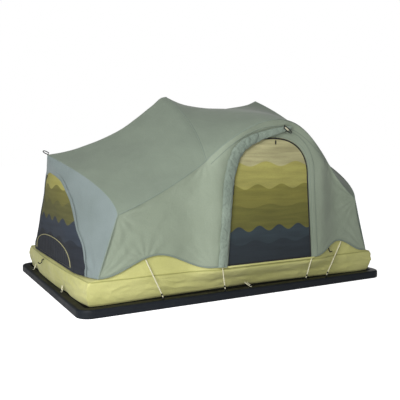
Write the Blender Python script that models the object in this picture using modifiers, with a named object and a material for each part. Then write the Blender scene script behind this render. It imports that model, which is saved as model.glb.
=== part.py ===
"""Roof top tent for two people on a flat aluminium base.

Metres, +Z up. The origin lies on the ground plane under the middle of the base. X runs along the
base's long side and Y across it. "Near" is the side at -Y, and "left" is the end at -X. The tent
is the same on its near and far sides; both doors stand a little to the right of the middle.
"""

import math

import bmesh
import bpy
from mathutils import Matrix, Vector

# Gaps
GAP = 0.0003
SEAM_GAP = 0.0004

# Base frame
BASE_LENGTH = 2.200
BASE_WIDTH = 1.500
RAIL_HEIGHT = 0.050
RAIL_WIDTH = 0.050
RAIL_WALL = 0.004
RAIL_ROUND = 0.012
RAIL_CHAMFER = 0.003
LEDGE_TOP = 0.0345
LEDGE_DEPTH = 0.014
LEDGE_THICKNESS = 0.0045
CORNER_RADIUS = 0.080
CORNER_REACH = 0.095
CORNER_STEPS = 8
DECK_THICKNESS = 0.012
CHANNEL_END_CLEARANCE = 0.070
CHANNEL_LENGTH = BASE_LENGTH - 2 * CHANNEL_END_CLEARANCE
CHANNEL_WIDTH = 0.040
CHANNEL_SPACING = 0.700
CHANNEL_WALL = 0.004
CHANNEL_SLOT = 0.012

# Studs on the rails that hold cords and elastic loops
STUD_POST_RADIUS = 0.0035
STUD_HEAD_RADIUS = 0.0060
STUD_HEAD_THICKNESS = 0.003
STUD_HEIGHT = 0.012
STUD_ROOT = 0.003
STUD_INSET = 0.022
STUD_SIDES = 8
LOOP_STUD_INSET = 0.030
LOOP_STUD_SHIFTS = (-0.290, 0.450)

# Floor tub and mattress
TUB_RADIUS = 0.050
TUB_CLOTH = 0.003
TUB_SEAM_Z = 0.190
TUB_RIM = 0.016
TUB_RIM_DROP = 0.003
TUB_FLANK_Y = BASE_WIDTH / 2 - 0.060
MATTRESS_END_CLEARANCE = 0.140
MATTRESS_SIDE_CLEARANCE = 0.130
MATTRESS_LENGTH = BASE_LENGTH - 2 * MATTRESS_END_CLEARANCE
MATTRESS_WIDTH = BASE_WIDTH - 2 * MATTRESS_SIDE_CLEARANCE
MATTRESS_HEIGHT = 0.065
MATTRESS_RADIUS = 0.090
MATTRESS_CROWN = 0.012

# Poles
POLE_RADIUS = 0.0055
HUB_RADIUS = 0.013
SLEEVE_RADIUS = 0.0095
SLEEVE_LENGTH = 0.040
POLE_END_SHIFT = 0.015
CLIP_LENGTH = 0.016
CLIP_WALL = 0.004
FOOT_STRAIGHT = 0.040
LEG_FOOT_X = BASE_LENGTH / 2 - 0.125
LEG_FOOT_Y = BASE_WIDTH / 2 - 0.095
HOOP_FOOT_Y = BASE_WIDTH / 2 - 0.112
HOOP_KNEE_Y = BASE_WIDTH / 2 - 0.082
HOOP_KNEE_Z = 0.400
HOOP_LEAN = 0.015

# How far the poles run inside the seams that they hold up
BROW_FOOT_SHIFT = Vector((0.0, 0.022, -0.014))
BROW_TOP_SHIFT = Vector((0.0, 0.036, -0.014))
ARCH_TOP_SHIFT = Vector((0.022, 0.0, -0.034))
HOOP_CROSS = Vector((0.0, 0.0118, -0.0086))
HOOP_SHIFT = Vector((0.0, 0.016, -0.026))

# Main points of the canopy
DOOR_X = 0.145
PEAK_LEFT_X = DOOR_X - 0.382
PEAK_RIGHT_X = DOOR_X + 0.366
PEAK_Z = 1.265
PEAK_DIP = 0.070
END_PEAK_X = BASE_LENGTH / 2 - 0.037
END_PEAK_Z = 0.867
SHOULDER_X = BASE_LENGTH / 2 - 0.236
SHOULDER_Y = BASE_WIDTH / 2 - 0.045
SHOULDER_Z = {"left": 0.545, "right": 0.568}
CREST_SAG = 0.021
FOOT_X = BASE_LENGTH / 2 - 0.120
FOOT_Y = BASE_WIDTH / 2 - 0.050
HEM_Z = 0.200
BROW_HALF = 0.455
BROW_FOOT_Z = 0.834
BROW_RISE = 0.249
BROW_REACH = 0.095
END_WALL_X = BASE_LENGTH / 2 - 0.050
CLOTH = 0.002

# Rise of the ridge from an end peak to a main peak, as shares of its run and of its rise
RIDGE_SHAPE = ((0.0, 0.0), (0.25, 0.12), (0.58, 0.415), (0.845, 0.80), (0.946, 0.970), (1.0, 1.0))

# Door and the wall round it
DOOR_PLANE_Y = BASE_WIDTH / 2 - 0.005
DOOR_FLAT_HALF = 0.370
DOOR_FADE_HALF = 0.600
DOOR_FLAT_SHARE = 0.895
WALL_PULL = 0.010
DOOR_SILL_Z = 0.2005
DOORWAY_X = DOOR_X - 0.012
DOOR_SPRING_Z = 0.715
DOOR_RISE = 0.262
DOOR_HALF_LOW = 0.325
DOOR_HALF_HIGH = 0.285
DOOR_POWER = 2.4
DOOR_GAP = 0.0006

# Raised stretches of the hem: start, end and rise
SCALLOPS = ((0.020 - FOOT_X, DOOR_X - 0.435, 0.100), (DOOR_X + 0.345, FOOT_X - 0.025, 0.082))

# End window and its vent. The window's edge is given as the distance from the tent's corner, and z.
WINDOW_EDGE = ((0.106, 0.204), (0.139, 0.287), (0.190, 0.364), (0.266, 0.438), (0.334, 0.525),
               (0.410, 0.615), (0.513, 0.705), (0.599, 0.739))
WINDOW_OUTLINE = [(FOOT_Y - inset, z) for inset, z in WINDOW_EDGE]
WINDOW_TOP_Z = 0.758
WINDOW_OVERLAP = 0.018
WINDOW_SET_BACK = 0.0005
WINDOW_SILL_Z = 0.201
VENT_HALF = FOOT_Y - 0.280
VENT_SILL_Z = 0.2150
VENT_RISE = 0.138
VENT_POWER = 2.3
VENT_GAP = 0.0010

# The end wall is flat round its vent, under an arch of its own
FLAT_HALF = VENT_HALF + 0.030
FLAT_TOP_Z = 0.500
FLAT_POWER = 3.0

# Rolled outer door: where it runs (distance from the doorway's middle, z), its width and thickness
ROLL_ROUTE = ((-0.374, 0.203, 0.064, 0.024), (-0.362, 0.360, 0.066, 0.026),
              (-0.348, 0.541, 0.068, 0.028), (-0.334, 0.705, 0.072, 0.028),
              (-0.303, 0.836, 0.074, 0.028), (-0.250, 0.916, 0.070, 0.026),
              (-0.180, 0.960, 0.062, 0.022), (-0.100, 0.987, 0.052, 0.018),
              (-0.020, 1.010, 0.044, 0.015), (0.055, 1.030, 0.032, 0.013),
              (0.098, 1.040, 0.020, 0.011))
ROLL_GAP = 0.0008
TOGGLE_CORD = 0.0020

# Small trim
PULL_LENGTH = 0.030
PULL_WIDTH = 0.008
PULL_THICKNESS = 0.0020
PULL_X = DOOR_X + 0.012
LOOP_RADIUS = 0.010
LOOP_CORD = 0.0020
LOOP_RISE = 0.0146
CORD_RADIUS = 0.0030
ELASTIC_RADIUS = 0.0014

# Guy cords: x at the hem and x at the rail
GUY_CORDS = ((0.280 - FOOT_X, 0.374 - FOOT_X), (DOOR_X - 0.367, DOOR_X - 0.337),
             (DOOR_X + 0.317, DOOR_X + 0.285), (FOOT_X - 0.228, FOOT_X - 0.374))

# Mesh steps
LEFT_SHARES = (0.0, 0.125, 0.25, 0.375, 0.50, 0.625, 0.75, 0.875, 0.945, 1.0)
MID_STEPS = 16
RIGHT_SHARES = (0.0, 0.17, 0.34, 0.51, 0.68, 0.84, 0.935, 1.0)
RISE_STEPS = 8
WALL_SHARES = (0.0, 0.15, 0.30, 0.45, 0.60, 0.75, 0.895, 0.93, 0.965, 1.0)
LEG_SHARES = (0.0, 0.33, 0.55, 0.77, 1.0)
END_SHARES = (0.0, 0.26, 0.50, 0.643, 0.77, 0.89, 1.0)
ROUND_SIDES = 12

NEAR, FAR = -1, 1
SIDES = {"near": NEAR, "far": FAR}
ENDS = {"left": -1, "right": 1}


# Tub, level by level: height, how far inside the base's ends, how much shorter at the corners, how
# far inside the base's sides and how much narrower in the middle. A height of None follows the hem.
TUB_LEVELS = ((0.0, 0.062, 0.030, 0.066, 0.045), (0.012, 0.044, 0.042, 0.057, 0.042),
              (0.078, 0.038, 0.052, 0.052, 0.016), (0.143, 0.048, 0.064, 0.056, 0.0),
              (0.147, 0.059, 0.066, 0.063, 0.0), (None, 0.061, 0.067, 0.065, 0.0))
DECK_TOP = LEDGE_TOP + GAP + DECK_THICKNESS
FLOOR_TOP = DECK_TOP + GAP + TUB_CLOTH


def clear_scene():
    """Remove what the scene holds."""
    for item in list(bpy.data.objects):
        bpy.data.objects.remove(item, do_unlink=True)


def new_collection(name):
    """Return a new collection linked to the scene."""
    group = bpy.data.collections.new(name)
    bpy.context.scene.collection.children.link(group)
    return group


def finish(name, colour, roughness, metallic=0.0):
    """Return a Principled material of one colour, given as sRGB bytes."""
    known = bpy.data.materials.get(name)
    if known:
        return known
    made = bpy.data.materials.new(name)
    made.use_nodes = True
    shader = made.node_tree.nodes["Principled BSDF"]
    linear = [((byte / 255 + 0.055) / 1.055) ** 2.4 for byte in colour]
    shader.inputs["Base Color"].default_value = (*linear, 1.0)
    shader.inputs["Roughness"].default_value = roughness
    shader.inputs["Metallic"].default_value = metallic
    made.diffuse_color = (*linear, 1.0)
    return made


def frame_black():
    """Satin black finish of the rails, corners and channels."""
    return finish("anodised_frame", (36, 38, 41), 0.45, 0.8)


def deck_black():
    """Matt black finish of the deck."""
    return finish("deck_sheet", (26, 27, 29), 0.6, 0.3)


def pole_alloy():
    """Bare aluminium of the poles."""
    return finish("pole_alloy", (150, 153, 156), 0.35, 0.9)


def black_plastic():
    """Moulded black plastic."""
    return finish("black_plastic", (24, 24, 26), 0.5)


def fly_cloth():
    """Sage cloth of the roof and sides."""
    return finish("fly_cloth", (138, 150, 134), 0.85)


def end_cloth():
    """Greyer cloth of the ends and of the rolled door."""
    return finish("end_cloth", (143, 156, 156), 0.85)


def tub_cloth():
    """Yellow-green cloth of the floor."""
    return finish("tub_cloth", (181, 180, 110), 0.85)


def door_print():
    """Printed net of the doors and windows, in one middle colour."""
    return finish("door_print", (126, 126, 74), 0.8)


def mattress_cloth():
    """Grey cover of the mattress."""
    return finish("mattress_cloth", (88, 92, 94), 0.9)


def cord_cream():
    """Cream cord and elastic."""
    return finish("cord_cream", (222, 218, 190), 0.7)


def add_object(name, data, cloth, place=None, group=None):
    """Link an object made of a mesh or a curve, with one material."""
    item = bpy.data.objects.new(name, data)
    (group or TENT).objects.link(item)
    data.materials.append(cloth)
    if place is not None:
        item.location = place
    return item


def mesh_from(bm, name, smooth=False):
    """Turn a bmesh into a mesh."""
    mesh = bpy.data.meshes.new(name)
    bm.to_mesh(mesh)
    bm.free()
    if smooth:
        mesh.shade_smooth()
        mesh.set_sharp_from_angle(angle=math.radians(35))
    return mesh


def sheet_mesh(name, rows, inside):
    """Return an open sheet through rows of points, its faces pointing away from a point."""
    bm = bmesh.new()
    grid = [[bm.verts.new(point) for point in row] for row in rows]
    for low, high in zip(grid, grid[1:]):
        for a, b, c, d in zip(low, low[1:], high[1:], high):
            bm.faces.new((a, b, c, d))
    bmesh.ops.remove_doubles(bm, verts=bm.verts, dist=0.00005)
    bmesh.ops.triangulate(bm, faces=bm.faces, quad_method="FIXED")
    bm.normal_update()
    lean = sum(face.normal.dot(face.calc_center_median() - inside) for face in bm.faces)
    if lean < 0:
        bmesh.ops.reverse_faces(bm, faces=bm.faces)
    return mesh_from(bm, name, smooth=True)


def loft_mesh(name, rings, smooth=True):
    """Return a closed solid through rings of points, capped at both ends."""
    bm = bmesh.new()
    loops = [[bm.verts.new(point) for point in ring] for ring in rings]
    for low, high in zip(loops, loops[1:]):
        for i, corner in enumerate(low):
            nxt = (i + 1) % len(low)
            bm.faces.new((corner, low[nxt], high[nxt], high[i]))
    bm.faces.new(loops[0])
    bm.faces.new(loops[-1])
    bmesh.ops.recalc_face_normals(bm, faces=bm.faces)
    return mesh_from(bm, name, smooth)


def mirrored(rows, side):
    """Return rows of near-side points, mirrored for the far side."""
    return [[Vector((p.x, -side * p.y, p.z)) for p in row] for row in rows]


def add_solidify(item, thickness, offset):
    """Give an open sheet its thickness."""
    shell = item.modifiers.new("thickness", "SOLIDIFY")
    shell.thickness = thickness
    shell.offset = offset
    shell.use_even_offset = True
    shell.use_quality_normals = True


def add_mirror(item, axis):
    """Mirror an open half about one axis of its own."""
    twin = item.modifiers.new("mirror", "MIRROR")
    twin.use_axis = [letter == axis for letter in "XYZ"]
    twin.merge_threshold = 0.0001


def add_boolean(item, tool, operation):
    """Cut, join or intersect an object with a helper solid."""
    step = item.modifiers.new(operation.lower(), "BOOLEAN")
    step.object = tool
    step.operation = operation
    step.solver = "EXACT"


def as_helper(item):
    """Keep a solid out of the model: it only cuts or joins."""
    for group in item.users_collection:
        group.objects.unlink(item)
    HELPERS.objects.link(item)
    item.hide_render = True
    item.display_type = "WIRE"
    return item


def plate(name, outline, thickness, cloth, place, turn):
    """Return a flat plate of an outline, as a filled 2D curve centred on its plane."""
    curve = bpy.data.curves.new(name, "CURVE")
    curve.dimensions = "2D"
    curve.fill_mode = "BOTH"
    curve.extrude = thickness / 2
    line = curve.splines.new("POLY")
    line.points.add(len(outline) - 1)
    for knot, (across, up) in zip(line.points, outline):
        knot.co = (across, up, 0.0, 1.0)
    line.use_cyclic_u = True
    item = add_object(name, curve, cloth, place)
    item.rotation_euler = turn
    return item


def plate_helper(name, outline, thickness, place, turn):
    """Return a plate as a closed mesh that can cut or join other solids."""
    drawn = plate(name + "_outline", outline, thickness, frame_black(), place, turn)
    bpy.context.view_layer.update()
    seen = drawn.evaluated_get(bpy.context.evaluated_depsgraph_get())
    mesh = bpy.data.meshes.new_from_object(seen)
    matrix = drawn.matrix_world.copy()
    bpy.data.objects.remove(drawn, do_unlink=True)
    bm = bmesh.new()
    bm.from_mesh(mesh)
    bmesh.ops.remove_doubles(bm, verts=bm.verts, dist=0.00001)
    bmesh.ops.recalc_face_normals(bm, faces=bm.faces)
    bm.to_mesh(mesh)
    bm.free()
    item = bpy.data.objects.new(name, mesh)
    HELPERS.objects.link(item)
    item.matrix_world = matrix
    return as_helper(item)


UPRIGHT_XZ = (math.radians(90), 0.0, 0.0)
UPRIGHT_YZ = (math.radians(90), 0.0, math.radians(90))


def tube(name, route, radius, cloth, cyclic=False, sides=2):
    """Return a round tube along a route."""
    curve = bpy.data.curves.new(name, "CURVE")
    curve.dimensions = "3D"
    curve.bevel_depth = radius
    curve.bevel_resolution = sides
    curve.use_fill_caps = True
    line = curve.splines.new("POLY")
    line.points.add(len(route) - 1)
    for knot, point in zip(line.points, route):
        knot.co = (*point, 1.0)
    line.use_cyclic_u = cyclic
    return add_object(name, curve, cloth)


def through(points, steps):
    """Return points of a smooth curve through some points, with a number of steps in each span."""
    ends = [2 * points[0] - points[1], *points, 2 * points[-1] - points[-2]]
    out = []
    for a, b, c, d in zip(ends, ends[1:], ends[2:], ends[3:]):
        for i in range(steps):
            t = i / steps
            out.append(0.5 * ((2 * b) + (c - a) * t + (2 * a - 5 * b + 4 * c - d) * t ** 2
                              + (3 * b - a - 3 * c + d) * t ** 3))
    out.append(points[-1].copy())
    return out


def smooth_step(value):
    """Return 0 below 0, 1 above 1, and an even S between."""
    t = min(max(value, 0.0), 1.0)
    return t * t * (3 - 2 * t)


# Lines of the canopy, all on the near side

def shoulder(end):
    """Corner where side wall, end wall and roof meet."""
    return Vector((ENDS[end] * SHOULDER_X, -SHOULDER_Y, SHOULDER_Z[end]))


def brow_foot(end):
    """Point where the brow over the door leaves the crest."""
    return Vector((DOOR_X + ENDS[end] * BROW_HALF, -SHOULDER_Y, BROW_FOOT_Z))


def end_peak(end):
    """Top of an end wall."""
    return Vector((ENDS[end] * END_PEAK_X, 0.0, END_PEAK_Z))


def main_peak(end):
    """Top of a main hoop."""
    return Vector((PEAK_LEFT_X if end == "left" else PEAK_RIGHT_X, 0.0, PEAK_Z))


def hem_corner(end):
    """Corner of the hem."""
    return Vector((ENDS[end] * FOOT_X, -FOOT_Y, HEM_Z))


def side_crest(end, t):
    """Point of the crest from a shoulder to the foot of the brow."""
    point = shoulder(end).lerp(brow_foot(end), t)
    point.z -= CREST_SAG * 4 * t * (1 - t)
    return point


def brow(t):
    """Point of the brow over the door, from its left foot to its right one."""
    x = DOOR_X + BROW_HALF * (2 * t - 1)
    rise = max(math.cos(math.pi / 2 * (2 * t - 1)), 0.0)
    return Vector((x, -SHOULDER_Y - BROW_REACH * rise ** 1.2, BROW_FOOT_Z + BROW_RISE * rise ** 0.9))


def end_ridge(end, t):
    """Point of the ridge from an end peak to a main peak."""
    shape = [Vector((run, rise)) for run, rise in RIDGE_SHAPE]
    fine = through(shape, 6)
    for low, high in zip(fine, fine[1:]):
        if t <= high.x + 1e-9:
            share = low.lerp(high, (t - low.x) / (high.x - low.x))
            break
    start, stop = end_peak(end), main_peak(end)
    return Vector((start.x + (stop.x - start.x) * t, 0.0, start.z + (stop.z - start.z) * share.y))


def mid_ridge(t):
    """Point of the ridge between the two main peaks."""
    point = main_peak("left").lerp(main_peak("right"), t)
    point.z -= PEAK_DIP * 4 * t * (1 - t)
    return point


def hoop_seam(end, t):
    """Point of the seam over a main hoop, from its peak down to the brow's foot."""
    top, low = main_peak(end), brow_foot(end)
    bend = Vector((top.x + 0.4 * (low.x - top.x), 0.70 * low.y, top.z + 0.41 * (low.z - top.z)))
    return top * (1 - t) ** 2 + bend * (2 * t * (1 - t)) + low * t ** 2


def end_seam(end, t):
    """Point of the seam over an end arch, from its peak down to the shoulder."""
    share = (1 - t) ** 1.6
    low, top = shoulder(end), end_peak(end)
    point = low.lerp(top, share)
    point.z = low.z + (top.z - low.z) * share ** 0.57
    return point


def leg_seam(end, t):
    """Point of the seam down a corner leg, from the shoulder to the hem."""
    return shoulder(end).lerp(hem_corner(end), t)


def hem_z(x):
    """Height of the fly's hem, raised in a scallop over each stretch of bare tub."""
    z = HEM_Z
    for start, stop, rise in SCALLOPS:
        if start < x < stop:
            z += rise * math.sin(math.pi * (x - start) / (stop - start)) ** 2
    return z


# Panels of the canopy

def shares(steps):
    """Return even shares from 0 to 1."""
    return [i / steps for i in range(steps + 1)]


def off_seams(edge_shares):
    """Draw the shares along an edge in, so that they stop just short of both seams."""
    return [SEAM_GAP + (1 - 2 * SEAM_GAP) * t for t in edge_shares]


def coons(top, bottom, start, stop, s, t):
    """Point of a sheet stretched between four lines: top and bottom by s, start and stop by t."""
    along = top(s).lerp(bottom(s), t)
    down = start(t).lerp(stop(t), s)
    corners = top(0).lerp(top(1), s).lerp(bottom(0).lerp(bottom(1), s), t)
    return along + down - corners


def roof_rows(top, bottom, start, stop, columns):
    """Rows of points of one half of a roof panel, from the ridge down."""
    down = [0.0, *off_seams(shares(RISE_STEPS))[1:]]
    return [[coons(top, bottom, start, stop, s, t) for s in off_seams(columns)] for t in down]


def add_roof_panel(name, top, bottom, start, stop, columns):
    """Add a roof panel that lies over the ridge, from one side's crest to the other's."""
    rows = roof_rows(top, bottom, start, stop, columns)
    for row in rows[:1]:
        for point in row:
            point.y = 0.0
    mesh = sheet_mesh(name, rows, Vector((DOOR_X, 0.0, 0.3)))
    item = add_object(name, mesh, fly_cloth())
    add_mirror(item, "Y")
    add_solidify(item, CLOTH, 1.0)
    return item


def build_roof():
    """Add the three panels of the roof."""
    add_roof_panel("fly_roof_left", lambda s: end_ridge("left", s), lambda s: side_crest("left", s),
                   lambda t: end_seam("left", t), lambda t: hoop_seam("left", t), LEFT_SHARES)
    add_roof_panel("fly_roof_middle", mid_ridge, brow,
                   lambda t: hoop_seam("left", t), lambda t: hoop_seam("right", t), shares(MID_STEPS))
    add_roof_panel("fly_roof_right", lambda s: end_ridge("right", s), lambda s: side_crest("right", s),
                   lambda t: end_seam("right", t), lambda t: hoop_seam("right", t), RIGHT_SHARES)


def door_weight(x):
    """1 in the flat wall round the door, 0 well away from it."""
    return 1 - smooth_step((abs(x - DOOR_X) - DOOR_FLAT_HALF) / (DOOR_FADE_HALF - DOOR_FLAT_HALF))


def crest_columns():
    """Points of the near crest from the left shoulder to the right one."""
    left = [side_crest("left", t) for t in LEFT_SHARES]
    middle = [brow(t) for t in shares(MID_STEPS)]
    right = [side_crest("right", t) for t in reversed(RIGHT_SHARES)]
    return left + middle[1:] + right[1:]


def foot_of(crest):
    """Point of the hem line under a crest point."""
    low, high = brow_foot("left").x, brow_foot("right").x
    if crest.x < low:
        x = -FOOT_X + (crest.x + SHOULDER_X) / (low + SHOULDER_X) * (low + FOOT_X)
    elif crest.x > high:
        x = FOOT_X - (SHOULDER_X - crest.x) / (SHOULDER_X - high) * (FOOT_X - high)
    else:
        x = crest.x
    weight = door_weight(x)
    return Vector((x, -FOOT_Y - (DOOR_PLANE_Y - FOOT_Y) * weight, hem_z(x)))


def hem_edge(x):
    """Height and slope of the side wall's lower edge, which is straight between its columns."""
    feet = [foot_of(crest) for crest in crest_columns()]
    for start, stop in zip(feet, feet[1:]):
        if start.x <= x <= stop.x:
            slope = (stop.z - start.z) / (stop.x - start.x)
            return start.z + slope * (x - start.x), abs(slope)
    return HEM_Z, 0.0


def wall_point(crest, v):
    """Point of the near wall at a share of the height from the hem to a crest point."""
    foot = foot_of(crest)
    weight = door_weight(crest.x)
    lean = max(0.0, (v - DOOR_FLAT_SHARE) / (1 - DOOR_FLAT_SHARE)) ** 1.5
    point = foot.lerp(crest, v)
    point.y = foot.y + (crest.y - foot.y) * ((1 - weight) * v + weight * lean)
    point.y += WALL_PULL * math.sin(math.pi * v) * (1 - weight)
    return point


def door_half(z, trim=0.0):
    """Half width of the doorway below its arch."""
    share = (z - DOOR_SILL_Z) / (DOOR_SPRING_Z - DOOR_SILL_Z)
    return DOOR_HALF_LOW + (DOOR_HALF_HIGH - DOOR_HALF_LOW) * share - trim


def door_outline(trim, sill):
    """Outline (x, z) of the doorway, from the left foot over the arch to the right foot."""
    points = [(-door_half(sill, trim), sill)]
    for i in range(21):
        angle = math.pi * (1 - i / 20)
        across, up = math.cos(angle), math.sin(angle)
        x = math.copysign(abs(across) ** (2 / DOOR_POWER), across) * (DOOR_HALF_HIGH - trim)
        points.append((x, DOOR_SPRING_Z + up ** (2 / DOOR_POWER) * (DOOR_RISE - trim)))
    points.append((door_half(sill, trim), sill))
    return [(DOORWAY_X + x, z) for x, z in points]


def build_side(label):
    """Add a side wall with its doorway cut out."""
    side = SIDES[label]
    columns = crest_columns()
    levels = [v * (1 - 2 * SEAM_GAP) for v in WALL_SHARES]
    rows = [[wall_point(crest, v) for crest in columns] for v in levels]
    mesh = sheet_mesh("fly_side_" + label, mirrored(rows, side), Vector((0, 0, 0.3)))
    wall = add_object("fly_side_" + label, mesh, fly_cloth())
    add_solidify(wall, CLOTH, 1.0)
    depth = 0.12
    cutter = plate_helper("doorway_" + label, door_outline(0.0, HEM_Z - 0.06), depth,
                          (0, side * DOOR_PLANE_Y, 0), UPRIGHT_XZ)
    add_boolean(wall, cutter, "DIFFERENCE")


def end_wall_x(y, crease, z):
    """Distance of an end wall from the middle, at a level whose seam point is given."""
    climb = min(max((z - VENT_SILL_Z) / (FLAT_TOP_Z - VENT_SILL_Z), 0.0), 1.0)
    flat = FLAT_HALF * (1 - climb ** FLAT_POWER) ** (1 / FLAT_POWER)
    power = 2.0 - 0.5 * flat / FLAT_HALF
    middle = END_WALL_X + (END_PEAK_X - END_WALL_X) * smooth_step((z - 0.70) / (END_PEAK_Z - 0.70))
    reach = abs(crease.y)
    share = max(0.0, (abs(y) - flat) / (reach - flat)) if reach > flat else 1.0
    return middle + (abs(crease.x) - middle) * share ** power


def end_rows(end, inset=0.0):
    """Rows of points of one half of an end wall, from the hem up to the peak."""
    down = [leg_seam(end, t) for t in LEG_SHARES]
    up = [end_seam(end, t) for t in shares(RISE_STEPS)]
    creases = list(reversed(down)) + list(reversed(up))[1:]
    rows = []
    for crease in creases:
        row = []
        for share in END_SHARES:
            y = crease.y * share * (1 - SEAM_GAP)
            x = ENDS[end] * (end_wall_x(y, crease, crease.z) - inset)
            row.append(Vector((x, y, crease.z)))
        rows.append(row)
    rows[-1] = [rows[-1][0].copy() for _ in rows[-1]]
    return rows


def window_outline(grow, sill):
    """Outline (y, z) of the window in an end wall."""
    knots = [Vector((y + grow, z + grow * (z > 0.5))) for y, z in WINDOW_OUTLINE]
    half = [(WINDOW_OUTLINE[0][0] + grow, sill), *[tuple(p) for p in through(knots, 2)]]
    right = half + [(0.0, WINDOW_TOP_Z + grow)]
    left = [(-y, z) for y, z in reversed(right[:-1])]
    return right + left


def vent_outline(trim):
    """Outline (y, z) of the vent at the foot of a window, its sill at height 0."""
    points = []
    for i in range(19):
        angle = math.pi * (1 - i / 18)
        across, up = math.cos(angle), math.sin(angle)
        y = math.copysign(abs(across) ** (2 / VENT_POWER), across) * (VENT_HALF - trim)
        points.append((y, up ** (2 / VENT_POWER) * (VENT_RISE - 2 * trim)))
    return points


def build_end(end):
    """Add an end wall, the window behind it and the window's vent flap."""
    sign = ENDS[end]
    rows = end_rows(end)
    inside = Vector((0, 0, 0.3))
    wall = add_object("fly_end_" + end, sheet_mesh("fly_end_" + end, rows, inside), end_cloth())
    add_mirror(wall, "Y")
    add_solidify(wall, CLOTH, 1.0)
    opening = plate_helper("window_hole_" + end, window_outline(0.0, HEM_Z - 0.05), 0.30,
                           (sign * END_WALL_X, 0, 0), UPRIGHT_YZ)
    add_boolean(wall, opening, "DIFFERENCE")

    pane_rows = end_rows(end, inset=WINDOW_SET_BACK)
    pane = add_object("window_" + end, sheet_mesh("window_" + end, pane_rows, inside), door_print())
    add_mirror(pane, "Y")
    add_solidify(pane, CLOTH, -1.0)
    keep = plate_helper("window_shape_" + end, window_outline(WINDOW_OVERLAP, WINDOW_SILL_Z), 0.30,
                        (sign * END_WALL_X, 0, 0), UPRIGHT_YZ)
    add_boolean(pane, keep, "INTERSECT")
    hole = plate_helper("vent_hole_" + end, vent_outline(0.0), 0.10,
                        (sign * END_WALL_X, 0, VENT_SILL_Z), UPRIGHT_YZ)
    add_boolean(pane, hole, "DIFFERENCE")

    face = END_WALL_X - WINDOW_SET_BACK
    flap = plate("vent_flap_" + end, [(y, z) for y, z in vent_outline(VENT_GAP)], CLOTH, door_print(),
                 (sign * (face - CLOTH / 2), 0, VENT_SILL_Z + VENT_GAP), UPRIGHT_YZ)
    return flap


def build_door(label):
    """Add the inner door, its zip pull, the rolled outer door and the toggle that ties it."""
    side = SIDES[label]
    face_y = side * (DOOR_PLANE_Y + CLOTH)
    outline = door_outline(DOOR_GAP, DOOR_SILL_Z)
    hinge_x = outline[0][0]
    leaf = plate("door_" + label, [(x - hinge_x, z - DOOR_SILL_Z) for x, z in outline], CLOTH,
                 door_print(), (hinge_x, side * (DOOR_PLANE_Y + CLOTH / 2), DOOR_SILL_Z), UPRIGHT_XZ)

    pull_top = DOOR_SPRING_Z + DOOR_RISE - 0.016
    half, long, thin = PULL_WIDTH / 2, PULL_LENGTH, PULL_THICKNESS
    tab = [(-half * 0.6, 0.0), (half * 0.6, 0.0), (half, -long * 0.7), (half * 0.5, -long),
           (-half * 0.5, -long), (-half, -long * 0.7)]
    plate("zip_pull_" + label, tab, thin, black_plastic(),
          (PULL_X, face_y + side * (GAP + thin / 2), pull_top), UPRIGHT_XZ)
    build_roll(label)
    return leaf


def wall_y_at(x, z):
    """How far the near wall, straight between its rows, stands out round the doorway."""
    crest = brow((x - DOOR_X) / (2 * BROW_HALF) + 0.5)
    foot = foot_of(crest)
    share = min(max((z - foot.z) / (crest.z - foot.z), 0.0), 1.0)
    for low, high in zip(WALL_SHARES, WALL_SHARES[1:]):
        if share <= high:
            t = (share - low) / (high - low)
            return wall_point(crest, low).lerp(wall_point(crest, high), t).y
    return crest.y


def build_roll(label):
    """Add the outer door, rolled up and hung beside the doorway, and its toggle."""
    side = SIDES[label]
    middles = through([Vector((DOOR_X + x, z)) for x, z, _, _ in ROLL_ROUTE], 2)
    sizes = through([Vector((wide, thick)) for _, _, wide, thick in ROLL_ROUTE], 2)
    rings = []
    for i, (middle, size) in enumerate(zip(middles, sizes)):
        ahead = (middles[min(i + 1, len(middles) - 1)] - middles[max(i - 1, 0)]).normalized()
        across = Vector((-ahead.y, ahead.x))
        reach = max(0.0, max(-wall_y_at(middle.x + across.x * size.x / 2 * k,
                                        middle.y + across.y * size.x / 2 * k)
                             for k in (-1, 0, 1)))
        clear = ROLL_GAP + (2 * TOGGLE_CORD + ROLL_GAP) * smooth_step((i - len(middles) + 6) / 3)
        centre_y = reach + CLOTH + clear + size.y / 2
        ring = []
        for k in range(ROUND_SIDES):
            angle = 2 * math.pi * k / ROUND_SIDES
            off = across * (math.cos(angle) * size.x / 2)
            y = centre_y + math.sin(angle) * size.y / 2
            ring.append(Vector((middle.x + off.x, side * y, middle.y + off.y)))
        rings.append(ring)
    add_object("door_roll_" + label, loft_mesh("door_roll_" + label, rings), end_cloth())

    last, size = middles[-3], sizes[-3]
    ahead = (middles[-2] - middles[-4]).normalized()
    across = Vector((-ahead.y, ahead.x))
    centre_y = sum(abs(p.y) for p in rings[-3]) / ROUND_SIDES
    grow = TOGGLE_CORD * 1.55
    loop = []
    for k in range(ROUND_SIDES + 4):
        angle = 2 * math.pi * k / (ROUND_SIDES + 4)
        off = across * (math.cos(angle) * (size.x / 2 + grow))
        y = centre_y + math.sin(angle) * (size.y / 2 + grow)
        loop.append(Vector((last.x + off.x, side * y, last.y + off.y)))
    tube("roll_toggle_" + label, loop, TOGGLE_CORD, black_plastic(), cyclic=True, sides=1)


# Base

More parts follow.
